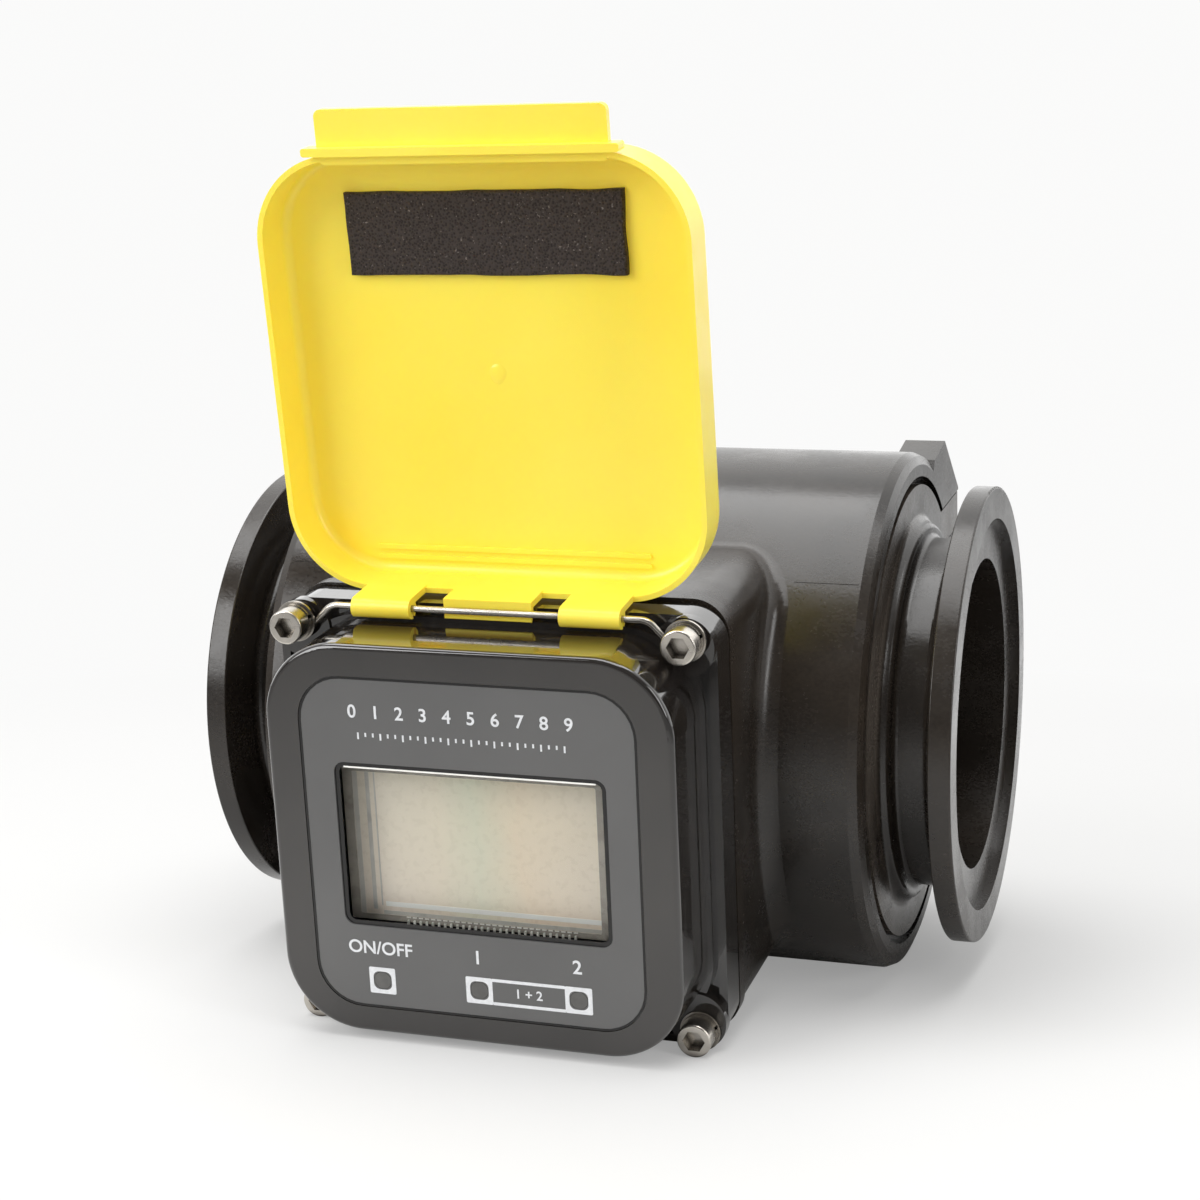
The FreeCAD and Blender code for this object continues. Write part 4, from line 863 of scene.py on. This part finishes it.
# The camera sees the floor blend into the white backdrop: by the lift up to the near radius,
# and wholly from the far one
FLOOR_NEAR = 0.16
FLOOR_FAR = 0.50
FLOOR_LIFT = 0.30

# Reflections see paper up to its edge, and beyond it a floor that is darkest in front of
# the meter and white behind it
PAPER_EDGE = 0.40
DARK_TO = -0.05
WHITE_FROM = 0.30
DARK_TONE = 0.24


def rest_tilt():
    """Tilt of the floor that touches the barrel and the lowest point of the display side."""
    points = [
        (vertex.co.y, vertex.co.z) for name in ("display_cover", "cover_screw_lower_right")
        for vertex in nodes[name].data.vertices if vertex.co.z < 0]
    low = 0.0
    high = TILT_LIMIT
    for _ in range(TILT_HALVINGS):
        middle = (low + high) / 2
        reach = max(-y * math.sin(middle) - z * math.cos(middle) for y, z in points)
        if reach < BARREL_RADIUS:
            low = middle
        else:
            high = middle
    return low


def floor_white():
    """Pale paper that takes the shadow near the meter and fades to plain white."""
    shader = Shader("floor_white")
    paper = shader.between(
        shader.noise(3.0, detail=2.0), (0.69, 0.687, 0.680), (0.71, 0.707, 0.700))
    shader.set("Roughness", 0.9)
    shader.set("Specular IOR Level", 0.1)
    length = shader.add("ShaderNodeVectorMath", operation="LENGTH")
    shader.feed(length.inputs[0], shader.place)
    reach = length.outputs["Value"]
    seen = shader.add("ShaderNodeLightPath").outputs["Is Camera Ray"]
    room = shader.span(shader.split(shader.place)["Y"], DARK_TO, WHITE_FROM, DARK_TONE, 1.0)
    away = shader.span(reach, FLOOR_NEAR, PAPER_EDGE, 0.0, 1.0)
    mirrored = shader.mix_colours(away, paper, room)
    shader.set("Base Color", shader.mix_colours(seen, mirrored, paper))
    glow = shader.add("ShaderNodeEmission")
    shader.feed(glow.inputs["Color"], BACKDROP)
    fade = shader.span(reach, FLOOR_NEAR, FLOOR_FAR, FLOOR_LIFT, 1.0)
    blend = shader.add("ShaderNodeMixShader")
    surface_in, glow_in = list(blend.inputs)[1:]
    shader.feed(blend.inputs["Fac"], shader.combine("MULTIPLY", fade, seen))
    shader.feed(surface_in, shader.surface.outputs["BSDF"])
    shader.feed(glow_in, glow.outputs["Emission"])
    shader.feed(shader.tree.nodes["Material Output"].inputs["Surface"], blend.outputs["Shader"])
    return shader.material


def build_stage():
    """A floor under the meter as it rests in the photograph."""
    tilt = rest_tilt()
    up = Vector((0, math.sin(tilt), math.cos(tilt)))
    corners = [
        (-FLOOR_HALF, -FLOOR_HALF, 0), (FLOOR_HALF, -FLOOR_HALF, 0), (FLOOR_HALF, FLOOR_HALF, 0),
        (-FLOOR_HALF, FLOOR_HALF, 0)]
    floor = add_mesh("floor", corners, [(0, 1, 2, 3)], floor_white(), None)
    floor.matrix_world = Matrix.Translation(-up * BARREL_RADIUS) @ Matrix.Rotation(-tilt, 4, "X")


# Light and camera

# Strength of the soft fill light, and what metal and glass mirror from in front and behind
WORLD_LIGHT = 0.50
ROOM_LIGHT = 0.15
BACK_LIGHT = 1.6
ROOM_TURN = 0.35


def build_world():
    """A white backdrop behind the meter, a darker room behind the camera and soft fill light."""
    world = bpy.data.worlds.new("world")
    bpy.context.scene.world = world
    world.use_nodes = True
    sky = Nodes(world.node_tree)
    background = sky.tree.nodes["Background"]
    sky.feed(background.inputs["Color"], BACKDROP)
    facing = sky.split(sky.add("ShaderNodeTexCoord").outputs["Generated"])["Y"]
    room = sky.span(facing, -ROOM_TURN, ROOM_TURN, ROOM_LIGHT, BACK_LIGHT)
    path = sky.add("ShaderNodeLightPath").outputs
    mirror = sky.combine("MAXIMUM", path["Is Glossy Ray"], path["Is Transmission Ray"])
    shown = sky.mix_numbers(mirror, WORLD_LIGHT, room)
    sky.feed(background.inputs["Strength"], sky.mix_numbers(path["Is Camera Ray"], shown, 1.0))


def add_lamp(name, place, aim, width, height, power):
    """A soft rectangular lamp that points at a place."""
    data = bpy.data.lights.new(name, "AREA")
    data.shape = "RECTANGLE"
    data.size = width
    data.size_y = height
    data.energy = power
    lamp = bpy.data.objects.new(name, data)
    lamp.location = place
    lamp.rotation_mode = "QUATERNION"
    lamp.rotation_quaternion = (Vector(aim) - Vector(place)).to_track_quat("-Z", "Y")
    bpy.context.scene.collection.objects.link(lamp)


def build_lights():
    """A broad lamp above, one at the left of the camera and a narrow one at the right."""
    add_lamp(
        "lamp_top", place=(-0.1, 0.05, 1.2), aim=(0, 0, 0.02), width=1.1, height=1.2, power=16)
    add_lamp(
        "lamp_left", place=(-0.9, -1.0, 0.75), aim=(0, 0, 0.03), width=0.8, height=0.9, power=13)
    add_lamp(
        "lamp_right", place=(1.15, -0.55, 0.55), aim=(0, 0, 0.02), width=0.3, height=0.8, power=4)


def build_camera():
    """The camera at the photograph's place."""
    data = bpy.data.cameras.new("camera")
    data.lens = CAMERA_LENS
    data.sensor_width = CAMERA_SENSOR
    data.clip_start = CAMERA_NEAR
    data.clip_end = CAMERA_FAR
    camera = bpy.data.objects.new("camera", data)
    aim = (CAMERA_TO - CAMERA_AT).to_track_quat("-Z", "Y").to_matrix().to_4x4()
    roll = Matrix.Rotation(CAMERA_ROLL, 4, "Z")
    camera.matrix_world = Matrix.Translation(CAMERA_AT) @ aim @ roll
    bpy.context.scene.collection.objects.link(camera)
    bpy.context.scene.camera = camera


dress_nodes()
print_switches()
print_scale()
build_label_edge()
build_window_border()
build_display()
build_foam()
build_gate_mark()
build_tongue_lip()
build_mould_lines()
build_stage()
build_world()
build_lights()
build_camera()
bpy.context.scene.view_settings.view_transform = "Standard"
